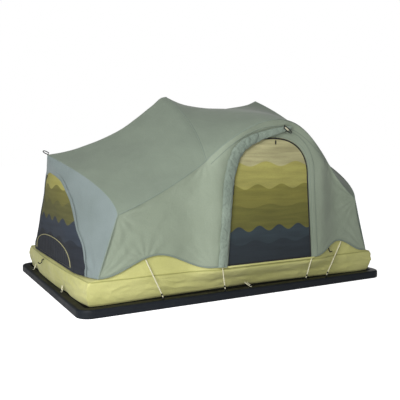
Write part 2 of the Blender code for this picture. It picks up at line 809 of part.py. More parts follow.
def rail_profile():
    """Outline (inward, up) of the base rail's section."""
    arc = []
    for i in range(5):
        angle = math.radians(90) * i / 4
        arc.append((RAIL_ROUND * (1 - math.cos(angle)),
                    RAIL_HEIGHT - RAIL_ROUND * (1 - math.sin(angle))))
    inner = RAIL_WIDTH + LEDGE_DEPTH
    return [(RAIL_CHAMFER, 0), (0, RAIL_CHAMFER), *arc,
            (RAIL_WIDTH - RAIL_CHAMFER, RAIL_HEIGHT), (RAIL_WIDTH, RAIL_HEIGHT - RAIL_CHAMFER),
            (RAIL_WIDTH, LEDGE_TOP), (inner, LEDGE_TOP), (inner, LEDGE_TOP - LEDGE_THICKNESS),
            (RAIL_WIDTH, LEDGE_TOP - LEDGE_THICKNESS), (RAIL_WIDTH, RAIL_CHAMFER),
            (RAIL_WIDTH - RAIL_CHAMFER, 0)]


def rail_bore():
    """Outline (inward, up) of the hollow inside the base rail."""
    low, high = RAIL_WALL, RAIL_WIDTH - RAIL_WALL
    top = RAIL_HEIGHT - RAIL_WALL
    cut = RAIL_ROUND * 0.7
    return [(low, low), (low, top - cut), (low + cut, top), (high, top), (high, low)]


def section(profile, point, inward):
    """Place a section on a point of the outer face, with the inward direction."""
    return [point + inward * across + Vector((0, 0, up)) for across, up in profile]


def stud_mesh():
    """Return the mesh of a mushroom stud, turned from its profile."""
    top = STUD_HEIGHT
    under = STUD_HEIGHT - STUD_HEAD_THICKNESS
    profile = [(0, top), (STUD_HEAD_RADIUS * 0.7, top), (STUD_HEAD_RADIUS, top - 0.001),
               (STUD_HEAD_RADIUS, under), (STUD_POST_RADIUS, under),
               (STUD_POST_RADIUS, -STUD_ROOT), (0, -STUD_ROOT)]
    bm = bmesh.new()
    corners = [bm.verts.new((x, 0, z)) for x, z in profile]
    for a, b in zip(corners, corners[1:]):
        bm.edges.new((a, b))
    return mesh_from(bm, "stud_profile")


def add_stud(rail, mesh, place, name):
    """Join a stud to a rail's top."""
    stud = bpy.data.objects.new(name, mesh)
    HELPERS.objects.link(stud)
    stud.location = place
    turn = stud.modifiers.new("turn", "SCREW")
    turn.steps = turn.render_steps = STUD_SIDES
    turn.use_merge_vertices = True
    turn.merge_threshold = 0.0001
    add_boolean(rail, as_helper(stud), "UNION")


def build_rail(name, start, stop, inward, studs, stud):
    """Add one straight rail of the base, hollow, with its studs."""
    rail = add_object(name, loft_mesh(name, [section(rail_profile(), start, inward),
                                             section(rail_profile(), stop, inward)], smooth=False),
                      frame_black())
    over = (stop - start).normalized() * 0.01
    bore = loft_mesh(name + "_bore", [section(rail_bore(), start - over, inward),
                                      section(rail_bore(), stop + over, inward)], smooth=False)
    helper = bpy.data.objects.new(name + "_bore", bore)
    HELPERS.objects.link(helper)
    add_boolean(rail, as_helper(helper), "DIFFERENCE")
    for i, place in enumerate(studs):
        add_stud(rail, stud, place, f"{name}_stud_{i}")


def build_base():
    """Add the rails, corner castings, deck and mounting channels."""
    stud = stud_mesh()
    half_x, half_y = BASE_LENGTH / 2, BASE_WIDTH / 2
    reach = CORNER_REACH + GAP
    for label, side in SIDES.items():
        studs = [Vector((x, side * (half_y - STUD_INSET), RAIL_HEIGHT)) for _, x in GUY_CORDS]
        studs.append(Vector((0, side * (half_y - LOOP_STUD_INSET), RAIL_HEIGHT)))
        build_rail("rail_" + label, Vector((-half_x + reach, side * half_y, 0)),
                   Vector((half_x - reach, side * half_y, 0)), Vector((0, -side, 0)), studs, stud)
    for label, sign in ENDS.items():
        studs = [Vector((sign * (half_x - LOOP_STUD_INSET), y, RAIL_HEIGHT)) for y in LOOP_STUD_SHIFTS]
        build_rail("rail_" + label, Vector((sign * half_x, -half_y + reach, 0)),
                   Vector((sign * half_x, half_y - reach, 0)), Vector((-sign, 0, 0)), studs, stud)
    for side_label, side in SIDES.items():
        for end_label, sign in ENDS.items():
            build_corner(f"corner_{side_label}_{end_label}", side, sign)

    inset = RAIL_WIDTH + GAP
    deck = rounded_outline(half_x - inset, half_y - inset, CORNER_RADIUS - inset, CORNER_STEPS)
    plate("base_deck", deck, DECK_THICKNESS, deck_black(),
          (0, 0, LEDGE_TOP + GAP + DECK_THICKNESS / 2), (0, 0, 0))
    for label, side in SIDES.items():
        plate("mounting_channel_" + label, channel_outline(), CHANNEL_LENGTH, frame_black(),
              (0, side * CHANNEL_SPACING / 2, 0), UPRIGHT_YZ)


def build_corner(name, side, sign):
    """Add a corner casting: a quarter bend of the rail's section with two straight ends."""
    half_x, half_y = BASE_LENGTH / 2, BASE_WIDTH / 2
    centre = Vector((sign * (half_x - CORNER_RADIUS), side * (half_y - CORNER_RADIUS), 0))
    stub = CORNER_REACH - CORNER_RADIUS
    rings = []
    for i in range(CORNER_STEPS + 1):
        angle = math.radians(90) * i / CORNER_STEPS
        out = Vector((sign * math.cos(angle), side * math.sin(angle), 0))
        rings.append(section(rail_profile(), centre + out * CORNER_RADIUS, -out))
    first = [point - Vector((0, side * stub, 0)) for point in rings[0]]
    last = [point - Vector((sign * stub, 0, 0)) for point in rings[-1]]
    mesh = loft_mesh(name, [first, *rings, last])
    add_object(name, mesh, frame_black())


def rounded_outline(half_x, half_y, radius, steps, shift=0.0):
    """Outline of a rectangle with round corners, counter-clockwise."""
    points = []
    for quarter, (sx, sy) in enumerate(((1, 1), (-1, 1), (-1, -1), (1, -1))):
        for i in range(steps + 1):
            angle = math.radians(90) * (quarter + i / steps)
            points.append((sx * (half_x - radius) + radius * math.cos(angle) + shift,
                           sy * (half_y - radius) + radius * math.sin(angle)))
    return points


def channel_outline():
    """Outline (y, z) of a mounting channel: a C open downwards, its lips carrying the bolts."""
    half, top, wall = CHANNEL_WIDTH / 2, LEDGE_TOP, CHANNEL_WALL
    slot = CHANNEL_SLOT / 2
    right = [(slot, 0), (half, 0), (half, top)]
    inner = [(slot, wall), (half - wall, wall), (half - wall, top - wall)]
    left = [(-y, z) for y, z in reversed(right)]
    inner_left = [(-y, z) for y, z in reversed(inner)]
    return right + left + list(reversed(inner_left)) + list(reversed(inner))


# Floor

def tub_ring(level, steps_long, steps_short):
    """Ring of points round the tub at one of its levels."""
    up, inset_x, short, inset_y, waist = level
    half_x, half_y = BASE_LENGTH / 2 - inset_x, BASE_WIDTH / 2 - inset_y
    radius = TUB_RADIUS
    flat_x, flat_y = half_x - short - radius, half_y - radius
    points = []
    for quarter, (sx, sy) in enumerate(((1, 1), (-1, 1), (-1, -1), (1, -1))):
        for i in range(5):
            angle = math.radians(90) * (quarter + i / 4)
            points.append((sx * flat_x + radius * math.cos(angle),
                           sy * flat_y + radius * math.sin(angle)))
        along_x = quarter % 2 == 0
        count = steps_long if along_x else steps_short
        reach = flat_x if along_x else flat_y
        for i in range(1, count):
            t = 1 - 2 * i / count
            bow = 1 - t * t
            if along_x:
                points.append((sx * reach * t, sy * (half_y - waist * bow)))
            else:
                points.append((sx * (half_x - short + short * bow), sy * reach * t))
    base = DECK_TOP + GAP
    return [Vector((x, y, tub_rim_z(x, y) if up is None else base + up)) for x, y in points]


def tub_rim_z(x, y):
    """Height of the tub's rim: it follows the hem a little above it along the sides."""
    rise = hem_z(x) - HEM_Z if abs(y) > LEG_FOOT_Y else 0.0
    return HEM_Z + rise + (TUB_RIM if rise > 0.01 else -TUB_RIM_DROP)


def build_tub():
    """Add the waterproof floor with its turned-up walls."""
    rings = [tub_ring(level, 22, 8) for level in TUB_LEVELS]
    bm = bmesh.new()
    loops = [[bm.verts.new(point) for point in ring] for ring in rings]
    for under, over in zip(loops, loops[1:]):
        for i, corner in enumerate(under):
            nxt = (i + 1) % len(under)
            bm.faces.new((corner, under[nxt], over[nxt], over[i]))
    bm.faces.new(list(reversed(loops[0])))
    bm.normal_update()
    tub = add_object("floor_tub", mesh_from(bm, "floor_tub", smooth=True), tub_cloth())
    add_solidify(tub, TUB_CLOTH, -1.0)


def build_mattress():
    """Add the foam mattress: crowned, with its sides drawn in between the edges."""
    base = FLOOR_TOP + GAP
    edge = MATTRESS_HEIGHT - MATTRESS_CROWN
    levels = ((0.012, 0.0), (0.001, 0.006), (0.004, edge * 0.5), (0.001, edge - 0.006),
              (0.014, edge), (0.060, edge + MATTRESS_CROWN * 0.65), (0.160, edge + MATTRESS_CROWN))
    rings = []
    for inset, up in levels:
        ring = rounded_outline(MATTRESS_LENGTH / 2 - inset, MATTRESS_WIDTH / 2 - inset,
                               max(MATTRESS_RADIUS - inset * 0.5, 0.01), 4)
        rings.append([Vector((x, y, base + up)) for x, y in ring])
    add_object("mattress", loft_mesh("mattress", rings), mattress_cloth())


# Poles

def corner_normals(end):
    """Outward directions of the side wall, end wall and roof where they meet at a shoulder."""
    corner = shoulder(end)
    along = side_crest(end, LEFT_SHARES[1]) - corner
    arch = end_seam(end, 1 - 1 / RISE_STEPS) - corner
    leg = leg_seam(end, LEG_SHARES[1]) - corner
    y = corner.y * END_SHARES[-2]
    inward = Vector((ENDS[end] * end_wall_x(y, corner, corner.z), y, corner.z)) - corner
    inside = Vector((0, 0, 0.4)) - corner
    found = []
    for a, b in ((along, leg), (inward, leg), (along, arch)):
        normal = a.cross(b).normalized()
        found.append(-normal if normal.dot(inside) > 0 else normal)
    return found


def hub_centre(end):
    """Middle of a shoulder hub, whose ball seats against the three panels that meet there."""
    normals = Matrix([tuple(normal) for normal in corner_normals(end)])
    depth = -(HUB_RADIUS + 3 * GAP)
    return shoulder(end) + normals.inverted() @ Vector((depth, depth, depth))


def brow_route():
    """Route of the near side's long pole, from the left hub over the door to the right hub."""
    left, right = hub_centre("left"), hub_centre("right")
    points = [left]
    for i in range(1, 5):
        t = i / 4
        shift = (left - shoulder("left")).lerp(BROW_FOOT_SHIFT, t)
        points.append(side_crest("left", t) + shift)
    for i in range(1, 12):
        t = i / 12
        shift = BROW_FOOT_SHIFT.lerp(BROW_TOP_SHIFT, math.sin(math.pi * t))
        points.append(brow(t) + shift)
    for i in range(4, 0, -1):
        t = i / 4
        shift = (right - shoulder("right")).lerp(BROW_FOOT_SHIFT, t)
        points.append(side_crest("right", t) + shift)
    points.append(right)
    return points


def arch_route(end):
    """Route of an end arch, from the near hub over the end peak to the far hub."""
    hub = hub_centre(end)
    top = Vector((-ENDS[end] * ARCH_TOP_SHIFT.x, 0, ARCH_TOP_SHIFT.z))
    near = [hub]
    for i in range(1, 7):
        t = 1 - i / 7
        share = smooth_step(i / 7)
        near.append(end_seam(end, t) + (hub - shoulder(end)).lerp(top, share))
    near.append(end_peak(end) + top)
    return near + [Vector((p.x, -p.y, p.z)) for p in reversed(near[:-1])]


def leg_route(end):
    """Route of a corner leg, from the hub down to the floor."""
    hub = hub_centre(end)
    foot = Vector((ENDS[end] * LEG_FOOT_X, -LEG_FOOT_Y, FLOOR_TOP + GAP))
    return [hub, foot + Vector((0, 0, FOOT_STRAIGHT)), foot]


def hoop_route(end):
    """Route of a main hoop, from its near foot over its peak to its far foot."""
    cross = brow_foot(end) + BROW_FOOT_SHIFT + HOOP_CROSS
    foot_y = -HOOP_FOOT_Y
    lean = HOOP_LEAN * ENDS[end]
    knots = [Vector((cross.x + lean, foot_y, FLOOR_TOP + GAP + FOOT_STRAIGHT)),
             Vector((cross.x + lean * 0.6, -HOOP_KNEE_Y, HOOP_KNEE_Z)), cross]
    for t in (0.76, 0.56, 0.38, 0.20):
        knots.append(hoop_seam(end, t) + HOOP_SHIFT)
    knots.append(main_peak(end) + Vector((0, 0, HOOP_SHIFT.z)))
    near = through(knots, 2)
    near.insert(0, near[0] - Vector((0, 0, FOOT_STRAIGHT)))
    return near + [Vector((p.x, -p.y, p.z)) for p in reversed(near[:-1])]


def mirror_route(route, side):
    """Return a near-side route, mirrored for the far side."""
    return [Vector((p.x, -side * p.y, p.z)) for p in route]


def trimmed(route, both=True):
    """Route that starts, and ends where asked, a little way out of the hub's middle."""
    route = [p.copy() for p in route]
    route[0] = route[0] + (route[1] - route[0]).normalized() * POLE_END_SHIFT
    if both:
        route[-1] = route[-1] + (route[-2] - route[-1]).normalized() * POLE_END_SHIFT
    return route


def cylinder_helper(name, start, stop, radius):
    """Return a round bar between two points, as a helper solid."""
    bm = bmesh.new()
    along = stop - start
    bmesh.ops.create_cone(bm, cap_ends=True, segments=ROUND_SIDES, radius1=radius, radius2=radius,
                          depth=along.length)
    turn = along.to_track_quat("Z", "Y").to_matrix().to_4x4()
    bmesh.ops.transform(bm, verts=bm.verts, matrix=Matrix.Translation((start + stop) / 2) @ turn)
    item = bpy.data.objects.new(name, mesh_from(bm, name))
    HELPERS.objects.link(item)
    return as_helper(item)


def build_hub(label, end):
    """Add a shoulder hub: a ball with three angled sockets for the poles."""
    side = SIDES[label]
    name = f"hub_{label}_{end}"
    brow_line = brow_route() if end == "left" else list(reversed(brow_route()))
    routes = {"brow": brow_line, "arch": arch_route(end), "leg": leg_route(end)}
    bm = bmesh.new()
    bmesh.ops.create_uvsphere(bm, u_segments=10, v_segments=6, radius=HUB_RADIUS)
    centre = mirror_route([hub_centre(end)], side)[0]
    bmesh.ops.translate(bm, verts=bm.verts, vec=centre)
    hub = add_object(name, mesh_from(bm, name, smooth=True), black_plastic())
    bores = []
    for key, route in routes.items():
        line = mirror_route(route, side)
        out = (line[1] - line[0]).normalized()
        sleeve = cylinder_helper(f"{name}_{key}_sleeve", centre, centre + out * SLEEVE_LENGTH,
                                 SLEEVE_RADIUS)
        add_boolean(hub, sleeve, "UNION")
        bores.append(cylinder_helper(f"{name}_{key}_bore", centre + out * (POLE_END_SHIFT - GAP),
                                     centre + out * (SLEEVE_LENGTH + 0.01), POLE_RADIUS + 2 * GAP))
    for bore in bores:
        add_boolean(hub, bore, "DIFFERENCE")


def tube_helper(name, route, radius):
    """Return a tube along a route as a closed mesh that can cut or join other solids."""
    drawn = tube(name + "_line", route, radius, black_plastic())
    bpy.context.view_layer.update()
    seen = drawn.evaluated_get(bpy.context.evaluated_depsgraph_get())
    mesh = bpy.data.meshes.new_from_object(seen)
    bpy.data.objects.remove(drawn, do_unlink=True)
    bm = bmesh.new()
    bm.from_mesh(mesh)
    bmesh.ops.remove_doubles(bm, verts=bm.verts, dist=0.00001)
    bmesh.ops.recalc_face_normals(bm, faces=bm.faces)
    bm.to_mesh(mesh)
    bm.free()
    item = bpy.data.objects.new(name, mesh)
    HELPERS.objects.link(item)
    return as_helper(item)


def piece_of(line, target, half):
    """Return the part of a route within a distance of the knot nearest to a target."""
    k = min(range(1, len(line) - 1), key=lambda i: (line[i] - target).length)
    middle = line[k]
    return [middle + (line[k - 1] - middle).normalized() * half, middle,
            middle + (line[k + 1] - middle).normalized() * half]


def build_clip(label, end):
    """Add the clip that ties a main hoop to the long pole where they cross."""
    side = SIDES[label]
    name = f"clip_{label}_{end}"
    outer = brow_foot(end) + BROW_FOOT_SHIFT
    pieces = [(brow_route(), outer), (hoop_route(end), outer + HOOP_CROSS)]
    lines = [mirror_route(piece_of(line, target, CLIP_LENGTH / 2), side) for line, target in pieces]
    longer = [mirror_route(piece_of(line, target, CLIP_LENGTH), side) for line, target in pieces]
    shell = tube_helper(name + "_shell", lines[0], POLE_RADIUS + CLIP_WALL)
    clip = tube_helper(name, lines[1], POLE_RADIUS + CLIP_WALL)
    HELPERS.objects.unlink(clip)
    TENT.objects.link(clip)
    clip.hide_render = False
    clip.display_type = "TEXTURED"
    add_boolean(clip, shell, "UNION")
    for i, line in enumerate(longer):
        add_boolean(clip, tube_helper(f"{name}_bore_{i}", line, POLE_RADIUS + 2 * GAP), "DIFFERENCE")


def build_poles():
    """Add the poles, hubs and clips."""
    for label, side in SIDES.items():
        tube("brow_pole_" + label, mirror_route(trimmed(brow_route()), side), POLE_RADIUS,
             pole_alloy(), sides=1)
        for end in ENDS:
            tube(f"leg_pole_{label}_{end}", mirror_route(trimmed(leg_route(end), both=False), side),
                 POLE_RADIUS, pole_alloy(), sides=1)
            build_hub(label, end)
            build_clip(label, end)
    for end in ENDS:
        tube("end_arch_" + end, trimmed(arch_route(end)), POLE_RADIUS, pole_alloy(), sides=1)
        tube("main_hoop_" + end, hoop_route(end), POLE_RADIUS, pole_alloy(), sides=1)


# Cords and loops

def build_cords():
    """Add the guy cords of the near side, the elastic loops and the loops on the end peaks."""
    rail_y = -(BASE_WIDTH / 2 - STUD_INSET)
    stud_top = RAIL_HEIGHT + STUD_HEIGHT
    names = ("outer_left", "door_left", "door_right", "outer_right")
    for name, (top_x, low_x) in zip(names, GUY_CORDS):
        wall_y = -FOOT_Y - (DOOR_PLANE_Y - FOOT_Y) * door_weight(top_x)
        edge, slope = hem_edge(top_x)
        top = Vector((top_x, wall_y - CLOTH / 2, edge))
        low = Vector((low_x, rail_y, stud_top))
        lean = math.sin((top - low).angle(Vector((0, 0, 1))))
        top.z -= CORD_RADIUS * (lean + slope) + GAP
        low.z += CORD_RADIUS * lean + GAP
        route = [top.lerp(low, i / 4) for i in range(5)]
        tube("guy_cord_" + name, route, CORD_RADIUS, cord_cream())
    reach = (STUD_POST_RADIUS + ELASTIC_RADIUS + 2 * GAP) / math.cos(math.radians(15))
    stud_x = BASE_LENGTH / 2 - LOOP_STUD_INSET
    level = RAIL_HEIGHT + 0.0045
    _, inset_x, short, inset_y, waist = TUB_LEVELS[1]
    half_x, half_y = BASE_LENGTH / 2 - inset_x, BASE_WIDTH / 2 - inset_y
    for name, shift in zip(("front", "rear"), LOOP_STUD_SHIFTS):
        wall_x = half_x - short * (shift / TUB_FLANK_Y) ** 2
        shape = elastic_shape(stud_x - wall_x, reach)
        route = [Vector((-wall_x - out, shift + side, level + up)) for out, side, up in shape]
        tube("elastic_loop_left_" + name, route, ELASTIC_RADIUS, cord_cream(), sides=1)
    stud_y = BASE_WIDTH / 2 - LOOP_STUD_INSET
    wall_y = half_y - waist
    shape = elastic_shape(stud_y - wall_y, reach)
    route = [Vector((side, -wall_y - out, level + up)) for out, side, up in shape]
    tube("elastic_loop_near", route, ELASTIC_RADIUS, cord_cream(), sides=1)
    for end, sign in ENDS.items():
        loop = []
        for k in range(ROUND_SIDES):
            angle = 2 * math.pi * k / ROUND_SIDES
            loop.append(Vector((sign * (END_PEAK_X - 0.001 + LOOP_RADIUS * math.cos(angle)), 0,
                                END_PEAK_Z + LOOP_RISE + LOOP_RADIUS * math.sin(angle))))
        tube("peak_loop_" + end, loop, LOOP_CORD, end_cloth(), cyclic=True, sides=1)


def elastic_shape(stud_out, reach):
    """Points (out, along, up) of an elastic loop from the tub's wall round a stud and back."""
    half = [Vector((0.0025, -reach * 1.2, 0.006)), Vector((stud_out * 0.3, -reach * 1.2, 0.003)),
            Vector((stud_out * 0.7, -reach * 1.1, 0.0))]
    turn = []
    for i in range(7):
        angle = math.pi * (i / 6 - 0.5)
        turn.append(Vector((stud_out + reach * math.cos(angle), reach * math.sin(angle), 0.0)))
    return half + turn + [Vector((p.x, -p.y, p.z)) for p in reversed(half)]


def build():
    """Build the whole tent."""
    build_base()
    build_tub()
    build_mattress()
    build_poles()
    build_roof()
    for label in SIDES:
        build_side(label)
        build_door(label)
    for end in ENDS:
        build_end(end)
    build_cords()


clear_scene()
TENT = new_collection("roof_top_tent")
HELPERS = new_collection("helpers")
build()
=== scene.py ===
"""Looks of a roof top tent for two, on a flat black base.

Metres, +Z up. X runs along the base, Y across it, "near" is -Y and "left" is -X. Every cloth
panel is stretched between the same lines as its solid, with many more points, so that it can
carry the folds of real cloth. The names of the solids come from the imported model.
"""

import logging
import math
from collections.abc import Callable, Sequence
from dataclasses import dataclass, field
from enum import Enum
from functools import cache, partial

import bmesh
import bpy
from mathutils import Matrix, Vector, noise


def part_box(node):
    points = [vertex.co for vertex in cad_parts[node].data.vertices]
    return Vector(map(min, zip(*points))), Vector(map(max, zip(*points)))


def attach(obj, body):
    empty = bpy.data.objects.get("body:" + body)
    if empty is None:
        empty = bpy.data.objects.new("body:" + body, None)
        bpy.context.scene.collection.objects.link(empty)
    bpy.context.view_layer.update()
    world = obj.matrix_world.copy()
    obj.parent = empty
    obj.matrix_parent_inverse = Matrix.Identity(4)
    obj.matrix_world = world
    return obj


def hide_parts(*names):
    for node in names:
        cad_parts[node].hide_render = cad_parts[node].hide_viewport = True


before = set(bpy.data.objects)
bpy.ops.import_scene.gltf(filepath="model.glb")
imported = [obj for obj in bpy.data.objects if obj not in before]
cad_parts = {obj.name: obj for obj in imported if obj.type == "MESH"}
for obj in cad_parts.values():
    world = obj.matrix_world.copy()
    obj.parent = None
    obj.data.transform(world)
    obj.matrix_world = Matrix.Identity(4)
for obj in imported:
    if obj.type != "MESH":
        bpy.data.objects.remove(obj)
LOG = logging.getLogger("roof_top_tent")

Piece = bpy.types.Object
Tree = bpy.types.NodeTree
Socket = bpy.types.NodeSocket
Feed = dict[str | int, object]
Line = Callable[[float], Vector]
Point = tuple[float, float, float]
Outline = list[tuple[float, float]]
Pair = tuple[float, float]
Rows = tuple[tuple[float, ...], ...]

UP = Vector((0.0, 0.0, 1.0))
# The one body that doesn't move
TENT = "tent"
# Bevel steps round a quarter of a cord, and the distance at which its mesh's points are one
CORD_STEPS = 3
CORD_WELD = 0.000005
WHITE = (1.0, 1.0, 1.0, 1.0)


class Labelled(Enum):
    """Options whose names, in lower case, are part of the solids' names."""

    @property
    def label(self) -> str:
        """Name used in the solids."""
        return self.name.lower()


class Side(Labelled):
    """The two long sides, with the sign of their Y."""

    NEAR = -1
    FAR = 1


class End(Labelled):
    """The two short ends, with the sign of their X."""

    LEFT = -1
    RIGHT = 1


class Across(Enum):
    """The direction that runs level across a printed panel."""

    X = 0
    Y = 1


# Small helpers


def linear(colour: str) -> tuple[float, float, float, float]:
    """Turn an sRGB hex colour to linear red, green, blue and full alpha."""
    parts = [int(colour[i:i + 2], 16) / 255 for i in (0, 2, 4)]
    return *(c / 12.92 if c <= 0.04045 else ((c + 0.055) / 1.055) ** 2.4 for c in parts), 1.0


def smooth_step(value: float) -> float:
    """Return 0 below 0, 1 above 1, and an even S between."""
    t = min(max(value, 0.0), 1.0)
    return t * t * (3 - 2 * t)


def power_of(value: float, power: float) -> float:
    """Raise a number to a power and keep its sign."""
    return math.copysign(abs(value) ** power, value)


def through(points: Sequence[Vector], steps: int) -> list[Vector]:
    """Return points of a smooth curve through some points, the last one included.

    Args:
        points: Knots, of any dimension.
        steps: Number of steps in each span.

    Returns:
        The curve's points.
    """
    ends = [2 * points[0] - points[1], *points, 2 * points[-1] - points[-2]]
    out = []
    for a, b, c, d in zip(ends, ends[1:], ends[2:], ends[3:]):
        for i in range(steps):
            t = i / steps
            out.append(0.5 * ((2 * b) + (c - a) * t + (2 * a - 5 * b + 4 * c - d) * t ** 2
                              + (3 * b - a - 3 * c + d) * t ** 3))
    out.append(points[-1].copy())
    return out


def length_of(points: Sequence[Vector]) -> float:
    """Return the length of a line of points."""
    return sum((b - a).length for a, b in zip(points, points[1:]))


def flipped(points: Sequence[Vector], side: Side) -> list[Vector]:
    """Return near-side points, mirrored for the far side."""
    return [Vector((p.x, -side.value * p.y, p.z)) for p in points]


def select_only(piece: Piece | None) -> None:
    """Leave edit mode, and make one piece, or none, the selected and active one.

    Args:
        piece: The piece, or None to select nothing.
    """
    if bpy.context.object and bpy.context.object.mode != "OBJECT":
        bpy.ops.object.mode_set(mode="OBJECT")
    bpy.ops.object.select_all(action="DESELECT")
    if piece:
        piece.select_set(True)
        bpy.context.view_layer.objects.active = piece


def apply_modifiers(piece: Piece) -> None:
    """Apply all modifiers of a piece in order.

    Args:
        piece: The piece.
    """
    select_only(piece)
    for modifier in list(piece.modifiers):
        bpy.ops.object.modifier_apply(modifier=modifier.name)


def shade(piece: Piece, degrees: float = 40.0) -> None:
    """Shade a piece smooth apart from edges sharper than an angle."""
    select_only(piece)
    bpy.ops.object.shade_smooth_by_angle(angle=math.radians(degrees))


def linked(name: str, data: bpy.types.ID) -> Piece:
    """Make an object of some data and put it in the scene.

    Args:
        name: Its name.
        data: The data.

    Returns:
        The object.
    """
    made = bpy.data.objects.new(name, data)
    bpy.context.scene.collection.objects.link(made)
    return made


def from_bmesh(bm: bmesh.types.BMesh, name: str) -> Piece:
    """Turn a closed bmesh into a smooth-shaded piece with outward faces.

    Args:
        bm: The bmesh, which is freed.
        name: Its name.

    Returns:
        The piece.
    """
    bmesh.ops.recalc_face_normals(bm, faces=bm.faces)
    mesh = bpy.data.meshes.new(name)
    bm.to_mesh(mesh)
    bm.free()
    piece = linked(name, mesh)
    shade(piece)
    return piece


def welded(piece: Piece, distance: float) -> bmesh.types.BMesh:
    """Return a piece's mesh as a bmesh, with the points nearer than a distance made one.

    Args:
        piece: The piece.
        distance: The distance, in metres.

    Returns:
        The bmesh.
    """
    bm = bmesh.new()
    bm.from_mesh(piece.data)
    bmesh.ops.remove_doubles(bm, verts=bm.verts, dist=distance)
    return bm


def store(bm: bmesh.types.BMesh, piece: Piece) -> None:
    """Write a bmesh back to its piece."""
    bm.to_mesh(piece.data)
    bm.free()


def grid(name: str, place: Callable[[float, float], Vector], steps: tuple[int, int],
         size: Pair, inside: Point) -> Piece:
    """Make an open sheet from a grid primitive, each vertex moved to its place on the cloth.

    Args:
        name: The piece's name.
        place: Gives the point at shares s and t of the sheet.
        steps: Faces along s and along t.
        size: Length of the cloth along s and t, for its UV map, in metres.
        inside: A point that the sheet's faces turn away from.

    Returns:
        The sheet.
    """
    select_only(None)
    bpy.ops.mesh.primitive_grid_add(x_subdivisions=steps[0], y_subdivisions=steps[1], size=2.0)
    piece = bpy.context.object
    piece.name = piece.data.name = name
    mesh = piece.data
    shares = [((v.co.x + 1) / 2, (v.co.y + 1) / 2) for v in mesh.vertices]
    layer = mesh.uv_layers[0] if mesh.uv_layers else mesh.uv_layers.new(name="cloth")
    for loop in mesh.loops:
        s, t = shares[loop.vertex_index]
        layer.data[loop.index].uv = (s * size[0], t * size[1])
    for vertex, (s, t) in zip(mesh.vertices, shares):
        vertex.co = place(s, t)
    mesh.update()
    if sum(p.normal.dot(p.center - Vector(inside)) * p.area for p in mesh.polygons) < 0:
        mesh.flip_normals()
    return piece


# Section of a sewn band: shares of its width and of its thickness
BAND_SECTION = ((-0.5, 0.0), (-0.5, 0.6), (-0.40, 1.0), (0.0, 1.12), (0.40, 1.0), (0.5, 0.6),
                (0.5, 0.0))


def ribbon(name: str, route: Sequence[Vector], outward: Sequence[Vector], width: float,
           thickness: float, lift: float, closed: bool = False) -> Piece:
    """Make a flat sewn band along a route, with its edges rounded off.

    Args:
        name: The piece's name.
        route: The band's middle line.
        outward: Direction away from the cloth at each point.
        width: Width of the band.
        thickness: Thickness of the band.
        lift: How far its underside lies off the route.
        closed: Whether the band meets itself.

    Returns:
        The band.
    """
    bm = bmesh.new()
    rings = []
    count = len(route)
    for i, (point, out) in enumerate(zip(route, outward)):
        ahead = route[(i + 1) % count if closed else min(i + 1, count - 1)]
        behind = route[i - 1 if closed else max(i - 1, 0)]
        way = (ahead - behind).normalized()
        over = way.cross(out).normalized()
        up = over.cross(way).normalized()
        rings.append([bm.verts.new(point + over * (a * width) + up * (lift + b * thickness))
                      for a, b in BAND_SECTION])
    for low, high in zip(rings, rings[1:] + rings[:1] if closed else rings[1:]):
        for k, corner in enumerate(low):
            nxt = (k + 1) % len(low)
            bm.faces.new((corner, low[nxt], high[nxt], high[k]))
    if not closed:
        bm.faces.new(rings[0])
        bm.faces.new(rings[-1])
    return from_bmesh(bm, name)


def line(name: str, route: Sequence[Vector], radius: float, closed: bool = False) -> Piece:
    """Make a round cord along a route, as a curve of one spline.

    Args:
        name: The piece's name.
        route: The points it follows.
        radius: Its radius.
        closed: Whether it meets itself.

    Returns:
        The cord.
    """
    curve = bpy.data.curves.new(name, "CURVE")
    curve.dimensions = "3D"
    curve.bevel_depth = radius
    curve.bevel_resolution = CORD_STEPS
    curve.use_fill_caps = True
    spline = curve.splines.new("POLY")
    spline.points.add(len(route) - 1)
    for knot, point in zip(spline.points, route):
        knot.co = (*point, 1.0)
    spline.use_cyclic_u = closed
    return linked(name, curve)


def tube(name: str, route: Sequence[Vector], radius: float, closed: bool = False) -> Piece:
    """Make a round cord as line() does, but as a mesh.

    Args:
        name: Its name.
        route: The points it follows.
        radius: Its radius.
        closed: Whether it meets itself.

    Returns:
        The cord.
    """
    select_only(line(name, route, radius, closed))
    bpy.ops.object.convert(target="MESH")
    piece = bpy.context.object
    bm = welded(piece, CORD_WELD)
    bmesh.ops.recalc_face_normals(bm, faces=bm.faces)
    store(bm, piece)
    shade(piece)
    return piece


def prism(outline: Outline, depth: Pair, level: Across) -> Piece:
    """Make an upright cutter from an outline.

    Args:
        outline: Points (across, z).
        depth: Where it starts and ends, along the direction that it runs in.
        level: The direction that "across" stands for.

    Returns:
        The cutter.
    """
    bm = bmesh.new()
    ends = [[bm.verts.new((a, d, z) if level is Across.X else (d, a, z)) for a, z in outline]
            for d in depth]
    for k in range(len(outline)):
        nxt = (k + 1) % len(outline)
        bm.faces.new((ends[0][k], ends[0][nxt], ends[1][nxt], ends[1][k]))
    bm.faces.new(ends[0])
    bm.faces.new(ends[1])
    return from_bmesh(bm, "cutter")


def cut(piece: Piece, cutter: Piece, operation: str) -> None:
    """Cut a piece with a solid, or keep only what is inside it, and remove the solid.

    Args:
        piece: The piece.
        cutter: The solid.
        operation: DIFFERENCE to cut, INTERSECT to keep what is inside.
    """
    step = piece.modifiers.new("cut", "BOOLEAN")
    step.object = cutter
    step.operation = operation
    step.solver = "EXACT"
    apply_modifiers(piece)
    bpy.data.objects.remove(cutter, do_unlink=True)


